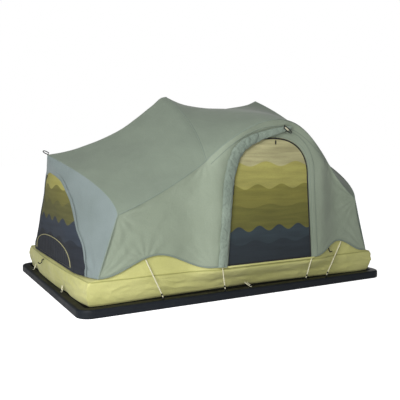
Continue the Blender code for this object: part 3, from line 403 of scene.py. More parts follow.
def thicken(piece: Piece, thickness: float, offset: float) -> None:
    """Give an open sheet its thickness.

    Args:
        piece: The sheet.
        thickness: Its thickness.
        offset: 1 to grow outwards, -1 to grow inwards.
    """
    shell = piece.modifiers.new("thickness", "SOLIDIFY")
    shell.thickness = thickness
    shell.offset = offset
    shell.use_even_offset = True
    apply_modifiers(piece)


def area_of(piece: Piece, layers: int = 1) -> float:
    """Return the area of a piece's faces, for one of its layers."""
    return sum(p.area for p in piece.data.polygons) / layers


def declare_sheet(piece: Piece, flat: Pair, area: float, held: str, *rests_on: str) -> None:
    """Log the area of a sheet of cloth.

    Args:
        piece: The sheet.
        flat: Width and length that it is cut to, in metres. Not used.
        area: Area of its cloth, in square metres.
        held: How it is held. Not used.
        *rests_on: Solids and pieces that it rests on. Not used.
    """
    LOG.info("%s: %.2f square metres", piece.name, area)


# Finishes


# Settings of a node that mixes two colours, and of one that multiplies them
MIXED = {"data_type": "RGBA"}
TIMES = {"data_type": "RGBA", "blend_type": "MULTIPLY"}


def feed(tree: Tree, node: bpy.types.Node, links: Feed) -> None:
    """Set inputs of a node to values, or link them to the sockets that feed them.

    Args:
        tree: The node tree.
        node: The node.
        links: Input name or index to a value, or to the socket that feeds it.
    """
    for key, value in links.items():
        if isinstance(value, Socket):
            tree.links.new(value, node.inputs[key])
        else:
            node.inputs[key].default_value = value


def add_node(tree: Tree, kind: str, links: Feed | None = None,
             **settings: object) -> Sequence[Socket]:
    """Add a node with its settings and what feeds it.

    Args:
        tree: The node tree.
        kind: The node's type, without its first word.
        links: Input name or index to a value, or to the socket that feeds it.
        **settings: Properties of the node.

    Returns:
        The node's outputs.
    """
    made = tree.nodes.new("ShaderNode" + kind)
    for key, value in settings.items():
        setattr(made, key, value)
    feed(tree, made, links or {})
    return made.outputs


def stripe_scale(width_mm: float) -> float:
    """Return the scale of a wave texture whose light and dark stripes have a width."""
    return 1000 / width_mm / 20 * 3.14159


@dataclass(frozen=True)
class Surface:
    """What every finish has: a name, a slot and a shader."""

    name: str
    slot: str = ""

    def shader(self, tree: Tree) -> Feed:
        """Add the nodes to a tree, and return what feeds the shader."""
        raise NotImplementedError

    @cache
    def material(self) -> bpy.types.Material:
        """Build the material, once.

        Returns:
            The material.
        """
        made = bpy.data.materials.new(self.name)
        made.use_nodes = True
        tree = made.node_tree
        feed(tree, tree.nodes["Principled BSDF"], self.shader(tree))
        return made


@dataclass(frozen=True)
class CoatedCloth(Surface):
    """Woven polyester or cotton with a coated back: matt, faintly ribbed, lightly creased."""

    colour: str = "8F9A88"
    shadow: str = "838E7C"
    roughness: float = 0.82
    # Real ripstop squares are 5 mm; they are drawn at 9 mm so that they show at all.
    square_mm: float = 9.0
    weave: float = 0.10
    crease: float = 0.30
    crease_mm: float = 110.0

    def shader(self, tree: Tree) -> Feed:
        """Add the nodes: soft tones, fibres, woven squares and creases.

        Args:
            tree: The material's tree.

        Returns:
            What feeds the shader.
        """
        add = partial(add_node, tree)
        place = add("TexCoord")
        broad = add("TexNoise", {"Vector": place["Object"], "Scale": 2.2, "Detail": 3.0,
                                 "Roughness": 0.55})
        fine = add("TexNoise", {"Vector": place["Object"], "Scale": 160.0, "Detail": 2.0})
        share = add("MapRange", {0: broad["Fac"], 1: 0.35, 2: 0.65})
        tone = add("Mix", {"Factor": share[0], 6: linear(self.colour), 7: linear(self.shadow)},
                   **MIXED)
        fibre = add("MapRange", {0: fine["Fac"], 1: 0.3, 2: 0.7, 3: 0.97, 4: 1.03})
        mottled = add("Mix", {"Factor": 1.0, 6: tone[2], 7: fibre[0]}, **TIMES)
        ribs = [add("TexWave", {"Vector": place["UV"], "Scale": stripe_scale(self.square_mm)},
                    wave_type="BANDS", bands_direction=way)["Fac"] for way in "XY"]
        both = add("Math", dict(enumerate(ribs)), operation="MAXIMUM")
        creased = add("TexNoise", {"Vector": place["Object"], "Scale": 1000 / self.crease_mm,
                                   "Detail": 4.0, "Roughness": 0.45, "Distortion": 0.6})
        soft = add("Bump", {"Height": creased["Fac"], "Strength": self.crease, "Distance": 0.02})
        woven = add("Bump", {"Height": both[0], "Strength": self.weave, "Distance": 0.001,
                             "Normal": soft[0]})
        return {"Base Color": mottled[2], "Roughness": self.roughness, "Sheen Weight": 0.12,
                "Sheen Roughness": 0.5, "Normal": woven[0]}


@dataclass(frozen=True)
class Band:
    """One colour of a printed panel, and the scalloped edge over it."""

    colour: str
    top: float
    swing: float
    repeat: float
    shift: float


@dataclass(frozen=True)
class PrintedMesh(Surface):
    """Fine polyester net with level bands of colour printed on it: matt, a little see-through."""

    level: Across = Across.X
    bands: tuple[Band, ...] = ()
    sky: str = "A29D74"
    haze: str = "AFAA80"
    streak_mm: float = 26.0
    alpha: float = 0.97

    def shader(self, tree: Tree) -> Feed:
        """Add the nodes: a streaked sky, the bands under it, the net's grain and its ripples.

        Args:
            tree: The material's tree.

        Returns:
            What feeds the shader.
        """
        add = partial(add_node, tree)
        place = add("TexCoord")
        axes = add("SeparateXYZ", {0: place["Object"]})
        lying = add("Mapping", {"Vector": place["Object"], "Scale": (0.10, 0.10, 1.0)})
        streak = add("TexNoise", {"Vector": lying[0], "Scale": 1000 / self.streak_mm, "Detail": 3.0,
                                  "Distortion": 0.4})["Fac"]
        lift = add("MapRange", {0: streak, 1: 0.35, 2: 0.68})
        colour = add("Mix", {"Factor": lift[0], 6: linear(self.sky), 7: linear(self.haze)},
                     **MIXED)[2]
        for band in self.bands:
            turn = add("Math", {0: axes[self.level.value], 1: math.pi / band.repeat,
                                2: band.shift}, operation="MULTIPLY_ADD")
            wave = add("Math", {0: turn[0]}, operation="SINE")
            bulge = add("Math", {0: wave[0], 1: wave[0]}, operation="MULTIPLY")
            edge = add("Math", {0: bulge[0], 1: band.swing, 2: band.top}, operation="MULTIPLY_ADD")
            below = add("Math", {0: edge[0], 1: axes[2]}, operation="SUBTRACT")
            share = add("MapRange", {0: below[0], 1: -0.002, 2: 0.002})
            fade = add("MapRange", {0: below[0], 1: 0.0, 2: 0.30, 3: 1.0, 4: 0.72})
            ink = add("Mix", {"Factor": 1.0, 6: linear(band.colour), 7: fade[0]}, **TIMES)
            colour = add("Mix", {"Factor": share[0], 6: colour, 7: ink[2]}, **MIXED)[2]
        net = add("TexNoise", {"Vector": place["Object"], "Scale": 420.0, "Detail": 1.0})
        grain = add("MapRange", {0: net["Fac"], 1: 0.3, 2: 0.7, 3: 0.88, 4: 1.08})
        brushed = add("MapRange", {0: streak, 1: 0.3, 2: 0.7, 3: 0.84, 4: 1.16})
        washed = add("Mix", {"Factor": 1.0, 6: colour, 7: brushed[0]}, **TIMES)
        printed = add("Mix", {"Factor": 1.0, 6: washed[2], 7: grain[0]}, **TIMES)
        slack = add("TexNoise", {"Vector": place["Object"], "Scale": 5.0, "Detail": 2.0})
        ripple = add("Bump", {"Height": slack["Fac"], "Strength": 0.25, "Distance": 0.02})
        return {"Base Color": printed[2], "Roughness": 0.75, "Alpha": self.alpha,
                "Normal": ripple[0]}


@dataclass(frozen=True)
class Hard(Surface):
    """A metal or plastic with a fine surface: anodised, drawn or moulded."""

    colour: str = "1E2023"
    roughness: float = 0.45
    metallic: float = 0.0
    grain_mm: float = 1.2
    grain: float = 0.06
    wear: float = 0.08
    shine: float = 0.5
    # Colour painted on the faces that look up, for the shade that falls on them
    top: str | None = None

    def shader(self, tree: Tree) -> Feed:
        """Add the nodes: worn tones and gloss, a painted shade colour on the faces that look up,
        and a fine grain.

        Args:
            tree: The material's tree.

        Returns:
            What feeds the shader.
        """
        add = partial(add_node, tree)
        place = add("TexCoord")
        broad = add("TexNoise", {"Vector": place["Object"], "Scale": 9.0, "Detail": 4.0})["Fac"]
        tone = add("MapRange", {0: broad, 1: 0.35, 2: 0.65, 3: 1.0 - self.wear,
                                4: 1.0 + self.wear})
        gloss = add("MapRange", {0: broad, 1: 0.3, 2: 0.7, 3: self.roughness - 0.05,
                                 4: self.roughness + 0.07})
        axes = add("SeparateXYZ", {0: place["Normal"]})
        # Faces that look up take the top colour, which is painted shade
        looks_up = add("MapRange", {0: axes[2], 1: 0.88, 2: 0.98})
        both = add("Mix", {"Factor": looks_up[0], 6: linear(self.colour),
                           7: linear(self.top or self.colour)}, **MIXED)
        worn_and_shaded = add("Mix", {"Factor": 1.0, 6: both[2], 7: tone[0]}, **TIMES)
        fine = add("TexNoise", {"Vector": place["Object"], "Scale": 1000 / self.grain_mm,
                                "Detail": 2.0})
        grained = add("Bump", {"Height": fine["Fac"], "Strength": self.grain, "Distance": 0.0005})
        return {"Base Color": worn_and_shaded[2], "Roughness": gloss[0], "Metallic": self.metallic,
                "Specular IOR Level": self.shine, "Normal": grained[0]}


@dataclass(frozen=True)
class Braid(Surface):
    """Braided polyester cord or sewn tape: matt, with crossing strands along it."""

    colour: str = "E9E5CB"
    strand: str = "C6C2A4"
    pitch_mm: float = 4.0

    def shader(self, tree: Tree) -> Feed:
        """Add the nodes: two sets of strands that cross.

        Args:
            tree: The material's tree.

        Returns:
            What feeds the shader.
        """
        add = partial(add_node, tree)
        place = add("TexCoord")
        strands = []
        for turn in (0.7, -0.7):
            lean = add("Mapping", {"Vector": place["Object"], "Rotation": (turn, turn, turn)})
            wave = add("TexWave", {"Vector": lean[0], "Scale": stripe_scale(self.pitch_mm)},
                       wave_type="BANDS", bands_direction="Z")
            strands.append(wave["Fac"])
        both = add("Math", dict(enumerate(strands)), operation="MINIMUM")[0]
        tone = add("Mix", {"Factor": both, 6: linear(self.strand), 7: linear(self.colour)},
                   **MIXED)
        raised = add("Bump", {"Height": both, "Strength": 0.4, "Distance": 0.0005})
        return {"Base Color": tone[2], "Roughness": 0.8, "Normal": raised[0]}


DOOR_BANDS = (Band("A29D56", 0.800, 0.030, 0.230, 0.4), Band("7A7636", 0.660, 0.030, 0.180, 1.1),
              Band("66642C", 0.545, 0.022, 0.260, 0.2), Band("2C383F", 0.400, 0.034, 0.150, 0.7),
              Band("222B32", 0.320, 0.026, 0.210, 1.4))
WINDOW_BANDS = (Band("6E6B37", 0.655, 0.030, 0.200, 0.3), Band("5C5B33", 0.560, 0.030, 0.170, 1.0),
                Band("2F3743", 0.455, 0.034, 0.150, 0.5), Band("20252E", 0.350, 0.026, 0.210, 1.2))

# Polyester cotton with a polyurethane back: sage, matt
FLY = CoatedCloth("sage_polycotton", "fly_cloth")
# The same cloth on the roof, painted darker: painted shade for the lower light on the roof
SHADED_ROOF = CoatedCloth("sage_polycotton_roof", "fly_cloth", "7E8A7A", "737E70")
ENDS = CoatedCloth("grey_polycotton", "end_cloth", "7D8989", "717D7B")
# The same cloth rolled up: its coated back is out, and it is creased small
ROLLED = CoatedCloth("sage_polycotton_rolled", "end_cloth", "849184", "6C796E", crease=0.75,
                     crease_mm=34.0)
# Folded seam of the same cloth, coloured a little darker than the fly
SEAM = CoatedCloth("sage_seam_tape", "fly_cloth", "7D897D", "737F73", crease=0.1)
# Heavy coated floor cloth: yellow-green, slightly glossy
TUB = CoatedCloth("green_floor_cloth", "tub_cloth", "C8C683", "B2B16C", 0.66, crease=0.35,
                  crease_mm=85.0)
TUB_SEAM = CoatedCloth("green_floor_seam", "tub_cloth", "A5A45F", "92914F", 0.6, crease=0.2)
DOOR_NET = PrintedMesh("printed_door_net", "door_print", Across.X, DOOR_BANDS)
WINDOW_NET = PrintedMesh("printed_window_net", "door_print", Across.Y, WINDOW_BANDS, "A8A35C",
                         "8E8948")
# Black anodised aluminium extrusion: satin, hardly metallic to the eye, with the faces that look up
# painted near black: painted shade between the tub and the rail
EXTRUSION = Hard("black_anodised_aluminium", colour="151A21", roughness=0.50, shine=0.25,
                 top="05070A")
DECK = Hard("black_coated_sheet", colour="0A0B0C", roughness=0.85, grain_mm=3.0, grain=0.2,
            shine=0.1)
POLE = Hard("drawn_aluminium_tube", colour="9A9DA0", roughness=0.32, metallic=0.95)
PLASTIC = Hard("moulded_black_nylon", "black_plastic", "151517", 0.5)
ZIP = Hard("black_coil_zip", "black_plastic", "1B1C1E", 0.6, grain_mm=2.5, grain=0.5)
CORD = Braid("cream_braided_cord", "cord_cream")
PIPING = Braid("cream_bias_tape", "cord_cream", "BDB98F", "9A966F", 3.0)
COVER = CoatedCloth("grey_knitted_cover", "mattress_cloth", "6A6E70", "5C6062", square_mm=12.0,
                    weave=0.3)


def dress(piece: Piece, finish: Surface) -> None:
    """Give a piece one finish in place of those it has."""
    piece.data.materials.clear()
    piece.data.materials.append(finish.material())


def fit(piece: Piece, finish: Surface, body: str, *nodes: str, slot: str | None = None) -> Piece:
    """Dress a finished piece and say what it belongs to.

    Args:
        piece: The piece.
        finish: Its finish.
        body: The body that it rides on.
        *nodes: Solids that it stands for.
        slot: Its slot, where that isn't the finish's own. Not used.

    Returns:
        The piece.
    """
    dress(piece, finish)
    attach(piece, body)
    if nodes:
        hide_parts(*nodes)
    slot or finish.slot
    LOG.info("%s rides on %s", piece.name, body)
    return piece


# Shape of the canopy


@dataclass
class CanopyLines:
    """The lines that the canopy is stretched between, all on the near side."""

    peaks: Pair = (-0.237, 0.511)
    peak_z: float = 1.265
    peak_dip: float = 0.070
    end_peak: Pair = (1.063, 0.867)
    shoulder_x: float = 0.864
    shoulder_y: float = 0.705
    shoulder_z: Pair = (0.545, 0.568)
    crest_sag: float = 0.021
    foot: Pair = (0.980, 0.700)
    hem: float = 0.200
    door_x: float = 0.145
    brow_half: float = 0.455
    brow_foot_z: float = 0.834
    brow_rise: float = 0.249
    brow_reach: float = 0.095
    # How round the brow is, from above and from the front
    brow_powers: Pair = (1.2, 0.9)
    # The bend of a hoop's seam: shares of the way from its top to its foot, along X, Y and Z
    hoop_bend: Point = (0.4, 0.70, 0.41)
    # How the points of an end's seam crowd to the shoulder, and how round the seam is
    end_seam_powers: Pair = (1.6, 0.57)
    end_wall_x: float = 1.050
    door_plane_y: float = 0.745
    # The flat wall round the door: its half width, where it has faded out, and its share of height
    door_flat: Point = (0.370, 0.600, 0.895)
    door_lean: float = 1.5
    wall_pull: float = 0.010
    doorway_x: float = 0.133
    sill: float = 0.2005
    spring: float = 0.715
    arch: float = 0.262
    # The doorway's half width at its sill and at its arch's foot, and how square the arch is
    door_halves: Pair = (0.325, 0.285)
    door_power: float = 2.4
    # Stretches where the hem is raised off the tub: start, stop and rise
    scallops: tuple[Point, ...] = ((-0.960, -0.290, 0.100), (0.490, 0.955, 0.082))
    # The flat part of an end wall: its half width at the foot, its lowest and its highest level
    flat_window: Point = (0.450, 0.215, 0.600)
    flat_power: float = 1.2
    # Level at which an end wall's middle starts to lean out to the peak
    end_lean_z: float = 0.70
    # Slack of an end's cloth, its waves, and the folds that run out from the hem's corners: their
    # depth, how many there are in a turn and how far they reach
    end_slack: float = 0.0030
    end_wave: float = 0.0034
    end_folds: Point = (0.0052, 15, 0.28)
    window_edge: Rows = (
        (0.594, 0.204), (0.561, 0.287), (0.510, 0.364), (0.434, 0.438), (0.366, 0.525),
        (0.290, 0.615), (0.187, 0.705), (0.101, 0.739))
    window_top: float = 0.758
    # Share of an end wall's edge that runs up the leg
    leg_share: float = 0.42
    end_steps: tuple[int, int] = (130, 110)
    # The ridge between an end's top and a hoop's: shares of the way along and up
    ridge_shape: Rows = ((0.0, 0.0), (0.25, 0.12), (0.58, 0.415), (0.845, 0.80), (0.946, 0.970),
                         (1.0, 1.0))
    ridge_fine: list[Vector] = field(init=False)

    def __post_init__(self) -> None:
        """Work out the ridge's fine points."""
        self.ridge_fine = through([Vector(knot) for knot in self.ridge_shape], 12)

    def shoulder(self, end: End) -> Vector:
        """Return the corner where side, end and roof meet."""
        return Vector((end.value * self.shoulder_x, -self.shoulder_y,
                       self.shoulder_z[end is End.RIGHT]))

    def brow_foot(self, end: End) -> Vector:
        """Return the point where the brow leaves the crest."""
        return Vector((self.door_x + end.value * self.brow_half, -self.shoulder_y,
                       self.brow_foot_z))

    def end_top(self, end: End) -> Vector:
        """Return the top of an end wall."""
        return Vector((end.value * self.end_peak[0], 0.0, self.end_peak[1]))

    def top(self, end: End) -> Vector:
        """Return the top of a main hoop."""
        return Vector((self.peaks[end is End.RIGHT], 0.0, self.peak_z))

    def corner(self, end: End) -> Vector:
        """Return the corner of the hem."""
        return Vector((end.value * self.foot[0], -self.foot[1], self.hem))

    def side_crest(self, end: End, t: float) -> Vector:
        """Return a point of the crest, from a shoulder to the brow's foot.

        Args:
            end: The end.
            t: Share of the way.

        Returns:
            The point.
        """
        point = self.shoulder(end).lerp(self.brow_foot(end), t)
        point.z -= self.crest_sag * 4 * t * (1 - t)
        return point

    def brow(self, t: float) -> Vector:
        """Return a point of the brow over the door, from left to right.

        Args:
            t: Share of the way.

        Returns:
            The point.
        """
        rise = max(math.cos(math.pi / 2 * (2 * t - 1)), 0.0)
        above, front = self.brow_powers
        return Vector((self.door_x + self.brow_half * (2 * t - 1),
                       -self.shoulder_y - self.brow_reach * rise ** above,
                       self.brow_foot_z + self.brow_rise * rise ** front))

    def end_ridge(self, end: End, t: float) -> Vector:
        """Return a point of the ridge, from an end's top to a hoop's top.

        Args:
            end: The end.
            t: Share of the way.

        Returns:
            The point.
        """
        share = 1.0
        for low, high in zip(self.ridge_fine, self.ridge_fine[1:]):
            if t <= high.x + 1e-9:
                share = low.lerp(high, (t - low.x) / (high.x - low.x)).y
                break
        start, stop = self.end_top(end), self.top(end)
        return Vector((start.x + (stop.x - start.x) * t, 0.0,
                       start.z + (stop.z - start.z) * share))

    def mid_ridge(self, t: float) -> Vector:
        """Return a point of the ridge between the two hoops.

        Args:
            t: Share of the way.

        Returns:
            The point.
        """
        point = self.top(End.LEFT).lerp(self.top(End.RIGHT), t)
        point.z -= self.peak_dip * 4 * t * (1 - t)
        return point

    def hoop_seam(self, end: End, t: float) -> Vector:
        """Return a point of the seam over a main hoop, from its top down.

        Args:
            end: The end.
            t: Share of the way.

        Returns:
            The point.
        """
        top, low = self.top(end), self.brow_foot(end)
        x, y, z = self.hoop_bend
        bend = Vector((top.x + x * (low.x - top.x), y * low.y, top.z + z * (low.z - top.z)))
        return top * (1 - t) ** 2 + bend * (2 * t * (1 - t)) + low * t ** 2

    def end_seam(self, end: End, t: float) -> Vector:
        """Return a point of the seam over an end arch, from its top down to the shoulder.

        Args:
            end: The end.
            t: Share of the way.

        Returns:
            The point.
        """
        crowd, roundness = self.end_seam_powers
        share = (1 - t) ** crowd
        low, top = self.shoulder(end), self.end_top(end)
        point = low.lerp(top, share)
        point.z = low.z + (top.z - low.z) * share ** roundness
        return point

    def leg_seam(self, end: End, t: float) -> Vector:
        """Return a point of the seam down a corner, from the shoulder to the hem."""
        return self.shoulder(end).lerp(self.corner(end), t)

    def hem_z(self, x: float) -> float:
        """Return the height of the hem, raised over each stretch of bare tub.

        Args:
            x: Distance along X.

        Returns:
            The height.
        """
        z = self.hem
        for start, stop, rise in self.scallops:
            if start < x < stop:
                z += rise * math.sin(math.pi * (x - start) / (stop - start)) ** 2
        return z

    def door_weight(self, x: float) -> float:
        """Return 1 in the flat wall round the door, 0 well away from it."""
        flat, fade, _ = self.door_flat
        return 1 - smooth_step((abs(x - self.door_x) - flat) / (fade - flat))

    def wall_foot_y(self, x: float) -> float:
        """Return how far out a long wall's foot stands."""
        return self.foot[1] + (self.door_plane_y - self.foot[1]) * self.door_weight(x)

    def crest(self, s: float) -> Vector:
        """Return a point of the whole near crest, from the left shoulder to the right one.

        Args:
            s: Share of the way.

        Returns:
            The point.
        """
        low, high = self.brow_foot(End.LEFT).x, self.brow_foot(End.RIGHT).x
        x = -self.shoulder_x + 2 * self.shoulder_x * s
        if x < low:
            return self.side_crest(End.LEFT, (x + self.shoulder_x) / (low + self.shoulder_x))
        if x > high:
            return self.side_crest(End.RIGHT, (self.shoulder_x - x) / (self.shoulder_x - high))
        return self.brow((x - low) / (high - low))

    def foot_of(self, crest: Vector) -> Vector:
        """Return the hem's point under a point of the crest.

        Args:
            crest: The point of the crest.

        Returns:
            The hem's point.
        """
        low, high = self.brow_foot(End.LEFT).x, self.brow_foot(End.RIGHT).x
        foot_x, wide = self.foot[0], self.shoulder_x
        x = crest.x
        if x < low:
            x = -foot_x + (x + wide) / (low + wide) * (low + foot_x)
        elif x > high:
            x = foot_x - (wide - x) / (wide - high) * (foot_x - high)
        return Vector((x, -self.wall_foot_y(x), self.hem_z(x)))

    def wall(self, crest: Vector, v: float) -> Vector:
        """Return a point of the near wall, at a share of the height up to a point of the crest.

        Args:
            crest: The point of the crest.
            v: Share of the height.

        Returns:
            The point.
        """
        foot = self.foot_of(crest)
        weight = self.door_weight(crest.x)
        lean = max(0.0, (v - self.door_flat[2]) / (1 - self.door_flat[2])) ** self.door_lean
        point = foot.lerp(crest, v)
        point.y = foot.y + (crest.y - foot.y) * ((1 - weight) * v + weight * lean)
        point.y += self.wall_pull * math.sin(math.pi * v) * (1 - weight)
        return point

    def wall_y(self, x: float, z: float) -> float:
        """Return how far out the near wall stands at a place round the doorway.

        Args:
            x: Distance along X.
            z: Height.

        Returns:
            The distance out.
        """
        crest = self.brow((x - self.door_x) / (2 * self.brow_half) + 0.5)
        foot = self.foot_of(crest)
        return self.wall(crest, min(max((z - foot.z) / (crest.z - foot.z), 0.0), 1.0)).y

    def end_x(self, y: float, crease: Vector, z: float) -> float:
        """Return an end wall's distance from the middle, where its seam's point is given.

        Args:
            y: Distance along Y.
            crease: The seam's point.
            z: Height.

        Returns:
            The distance.
        """
        half, low, top = self.flat_window
        climb = min(max((z - low) / (top - low), 0.0), 1.0)
        flat = half * (1 - climb ** self.flat_power)
        power = 2.0 - 0.5 * flat / half
        rise = smooth_step((z - self.end_lean_z) / (self.end_peak[1] - self.end_lean_z))
        middle = self.end_wall_x + (self.end_peak[0] - self.end_wall_x) * rise
        reach = abs(crease.y)
        share = max(0.0, (abs(y) - flat) / (reach - flat)) if reach > flat else 1.0
        return middle + (abs(crease.x) - middle) * share ** power

    def end_point(self, end: End, s: float, t: float) -> Vector:
        """Return a point of an end wall: s across it, t from the hem up to the top.

        Args:
            end: The end.
            s: Share of the way along.
            t: Share of the way across or up.

        Returns:
            The point.
        """
        leg = self.leg_share
        crease = (self.leg_seam(end, 1 - t / leg) if t < leg
                  else self.end_seam(end, 1 - (t - leg) / (1 - leg)))
        y = crease.y * (1 - 2 * s)
        return Vector((end.value * self.end_x(y, crease, crease.z), y, crease.z))

    def end_cloth(self, end: End, s: float, t: float) -> Vector:
        """Return a point of an end's real cloth: folded, but flat and taut round the vent.

        Args:
            end: The end.
            s: Share of the way along.
            t: Share of the way across or up.

        Returns:
            The point.
        """
        point = self.end_point(end, s, t)
        half, low, top = self.flat_window
        reach = (abs(point.y) / (half + 0.03)) ** 2 + max((point.z - low) / (top - 0.17), 0.0) ** 2
        loose = smooth_step((reach - 1.0) / 0.6) * smooth_step((point.z - 0.20) / 0.05)
        rim = smooth_step(min(s, 1 - s, t, 1 - t) / 0.08)
        depth, count, far = self.end_folds
        corner = Vector((self.foot[1] - abs(point.y), point.z - self.hem))
        away = corner.length
        rays = math.sin(count * math.atan2(corner.y, corner.x + 1e-6) + 6 * noise.noise(point * 3))
        fold = depth * rays * math.exp(-(away / far) ** 2) * smooth_step(away / 0.06)
        wave = noise.noise(Vector((point.y * 6, point.z * 6, end.value * 3.0)))
        point.x -= end.value * rim * loose * (self.end_slack + self.end_wave * wave + fold)
        return point

    def door_outline(self, grow: float, sill: float, steps: int = 40) -> Outline:
        """Return the doorway's outline (x, z), from the left foot over the arch to the right foot.

        Args:
            grow: How far outside the doorway it runs.
            sill: Height of its two feet.
            steps: Steps round the arch.

        Returns:
            The outline.
        """
        low, high = self.door_halves
        rest = (sill - self.sill) / (self.spring - self.sill)
        foot = low + (high - low) * rest + grow
        left = [(-foot, sill)]
        for i in range(1, 12):
            left.append((-(foot + (high + grow - foot) * i / 12),
                         sill + (self.spring - sill) * i / 12))
        points = list(left)
        for i in range(steps + 1):
            angle = math.pi * (1 - i / steps)
            x = power_of(math.cos(angle), 2 / self.door_power) * (high + grow)
            up = max(math.sin(angle), 0.0) ** (2 / self.door_power)
            points.append((x, self.spring + up * (self.arch + grow)))
        points += [(-x, z) for x, z in reversed(left)]
        return [(self.doorway_x + x, z) for x, z in points]

    def window_outline(self, grow: float, sill: float) -> Outline:
        """Return the end window's outline (y, z).

        Args:
            grow: How far outside the window it runs.
            sill: Height of its lower edge.

        Returns:
            The outline.
        """
        fine = through([Vector((y + grow, z + grow * (z > 0.5))) for y, z in self.window_edge], 6)
        right = [(self.window_edge[0][0] + grow, sill), *[tuple(p) for p in fine],
                 (0.0, self.window_top + grow)]
        return right + [(-y, z) for y, z in reversed(right[:-1])]


@dataclass
class Canopy:
    """The stretched cloth: three roof panels, two side walls, two end walls and their seams."""

    lines: CanopyLines
    cloth: float = 0.0016
    gap: float = 0.0006
    sleeve_drop: float = 0.038
    middle: Point = (0.145, 0.0, 0.3)
    roof_fold: float = 0.005
    # Depths of a side wall's folds: those of tension, and its soft ones where it is loose and where
    # it is taut
    side_folds: Point = (0.0022, 0.005, 0.0006)
    side_steps: tuple[int, int] = (220, 84)
    # Width and thickness of the seams, of the hem's tape and of the sleeve's row of stitches
    seam_size: Pair = (0.0065, 0.0016)
    hem_size: Pair = (0.010, 0.0009)
    stitch_size: Pair = (0.0040, 0.0009)
    # Where a side wall is held: x, z, how far its folds reach and how many there are in a turn
    holds: tuple[tuple[float, float, float, int], ...] = (
        (-0.980, 0.190, 0.30, 22), (-0.864, 0.560, 0.24, 14), (-0.700, 0.270, 0.16, 12),
        (-0.270, 0.190, 0.26, 20), (0.980, 0.190, 0.26, 20), (0.870, 0.570, 0.20, 14),
        (0.520, 0.190, 0.22, 18), (-0.330, 0.840, 0.20, 12), (0.620, 0.840, 0.20, 12))

    def settle(self, point: Vector, outward: Vector, s: float, t: float, depth: float,
               seed: float) -> Vector:
        """Press soft folds into a point of a panel, none at its edges.

        Args:
            point: The point on the taut cloth.
            outward: Rough direction out of the tent.
            s: Share along the panel.
            t: Share down the panel.
            depth: Depth of the folds.
            seed: Place in the noise.

        Returns:
            The moved point.
        """
        rim = smooth_step(min(s, 1 - s, t, 1 - t) / 0.10)
        place = Vector((point.x * 3.0 + seed, point.y * 3.0, point.z * 5.0))
        wave = noise.noise(place) + 0.4 * noise.noise(place * 2.7)
        pull = noise.noise(Vector((point.x * 9.0 - point.z * 9.0 + seed, point.y * 2.0, seed)))
        return point - outward * (rim * depth * (0.6 + 0.8 * wave + 0.35 * pull))

    def tension(self, point: Vector) -> float:
        """Return the depth of the folds that run out from the points that hold a side wall.

        Args:
            point: A point of the wall.

        Returns:
            A share of the deepest fold, from -1 to 1.
        """
        depth = 0.0
        for x, z, reach, rays in self.holds:
            off = Vector((point.x - x, point.z - z))
            ray = math.sin(rays * math.atan2(off.x, off.y) + 5 * noise.noise(point * 2.5))
            depth += ray * math.exp(-(off.length / reach) ** 2) * smooth_step(off.length / 0.05)
        return depth

    def roof_panel(self, name: str, top: Line, bottom: Line, start: Line, stop: Line,
                   steps: tuple[int, int], seed: float) -> None:
        """Make a roof panel that lies over the ridge, from one crest to the other.

        Args:
            name: The piece's name.
            top: The ridge's line.
            bottom: The crest's line.
            start: The seam's line, from the ridge down, where the panel begins.
            stop: The same where it ends.
            steps: Faces along the ridge and over it.
            seed: Place in the noise.
        """

        def coons(s: float, t: float) -> Vector:
            """Return a point of a sheet stretched between the four lines.

            Args:
                s: Share of the way along.
                t: Share of the way across or up.

            Returns:
                The point.
            """
            over = top(s).lerp(bottom(s), t)
            down = start(t).lerp(stop(t), s)
            return over + down - top(0).lerp(top(1), s).lerp(bottom(0).lerp(bottom(1), s), t)

        def place(s: float, t: float) -> Vector:
            """Return a point of the panel, t from the near crest to the far one.

            Args:
                s: Share of the way along.
                t: Share of the way across or up.

            Returns:
                The point.
            """
            down = abs(1 - 2 * t)
            point = coons(self.gap + (1 - 2 * self.gap) * s, down * (1 - self.gap))
            out = (point - Vector((point.x, 0.0, 0.45))).normalized()
            point = self.settle(point, out, s, 1 - down if down > 0.5 else 0.5, self.roof_fold,
                                seed)
            if t > 0.5:
                point.y = -point.y
            return point

        shares = [i / 12 for i in range(13)]
        wide = length_of([top(t) for t in shares])
        long = 2 * length_of([coons(0.5, t) for t in shares])
        piece = grid(name, place, steps, (wide, long), self.middle)
        area = area_of(piece)
        thicken(piece, self.cloth, 1.0)
        shade(piece)
        fit(piece, SHADED_ROOF, TENT, name.replace("cloth", "fly"))
        edge = max(wide, length_of([bottom(t) for t in shares]))
        declare_sheet(piece, (round(edge, 3), round(long * 1.08, 3)), area, "stretched",
                      "main_hoop_left", "main_hoop_right")

    def slope(self, end: End, steps: tuple[int, int], seed: float) -> None:
        """Make the roof panel between an end arch and its main hoop."""
        lines = (self.lines.end_ridge, self.lines.side_crest, self.lines.end_seam,
                 self.lines.hoop_seam)
        self.roof_panel(f"cloth_roof_{end.label}", *[partial(each, end) for each in lines],
                        steps=steps, seed=seed)

    def finish_wall(self, piece: Piece, outline: Outline, across: float, reach: float,
                    level: Across) -> None:
        """Thicken a wall and cut its opening out.

        Args:
            piece: The wall, an open sheet.
            outline: The opening's outline.
            across: How far out the wall stands, with its sign.
            reach: How far the cutter reaches to both sides of that.
            level: The direction that the wall runs in.
        """
        thicken(piece, self.cloth, 1.0)
        cut(piece, prism(outline, (across - reach, across + reach), level), "DIFFERENCE")
        shade(piece)

    def side(self, side: Side) -> None:
        """Make a side wall with its doorway and its hem tape.

        Args:
            side: The side.
        """
        lines = self.lines
        tense, slack, taut = self.side_folds

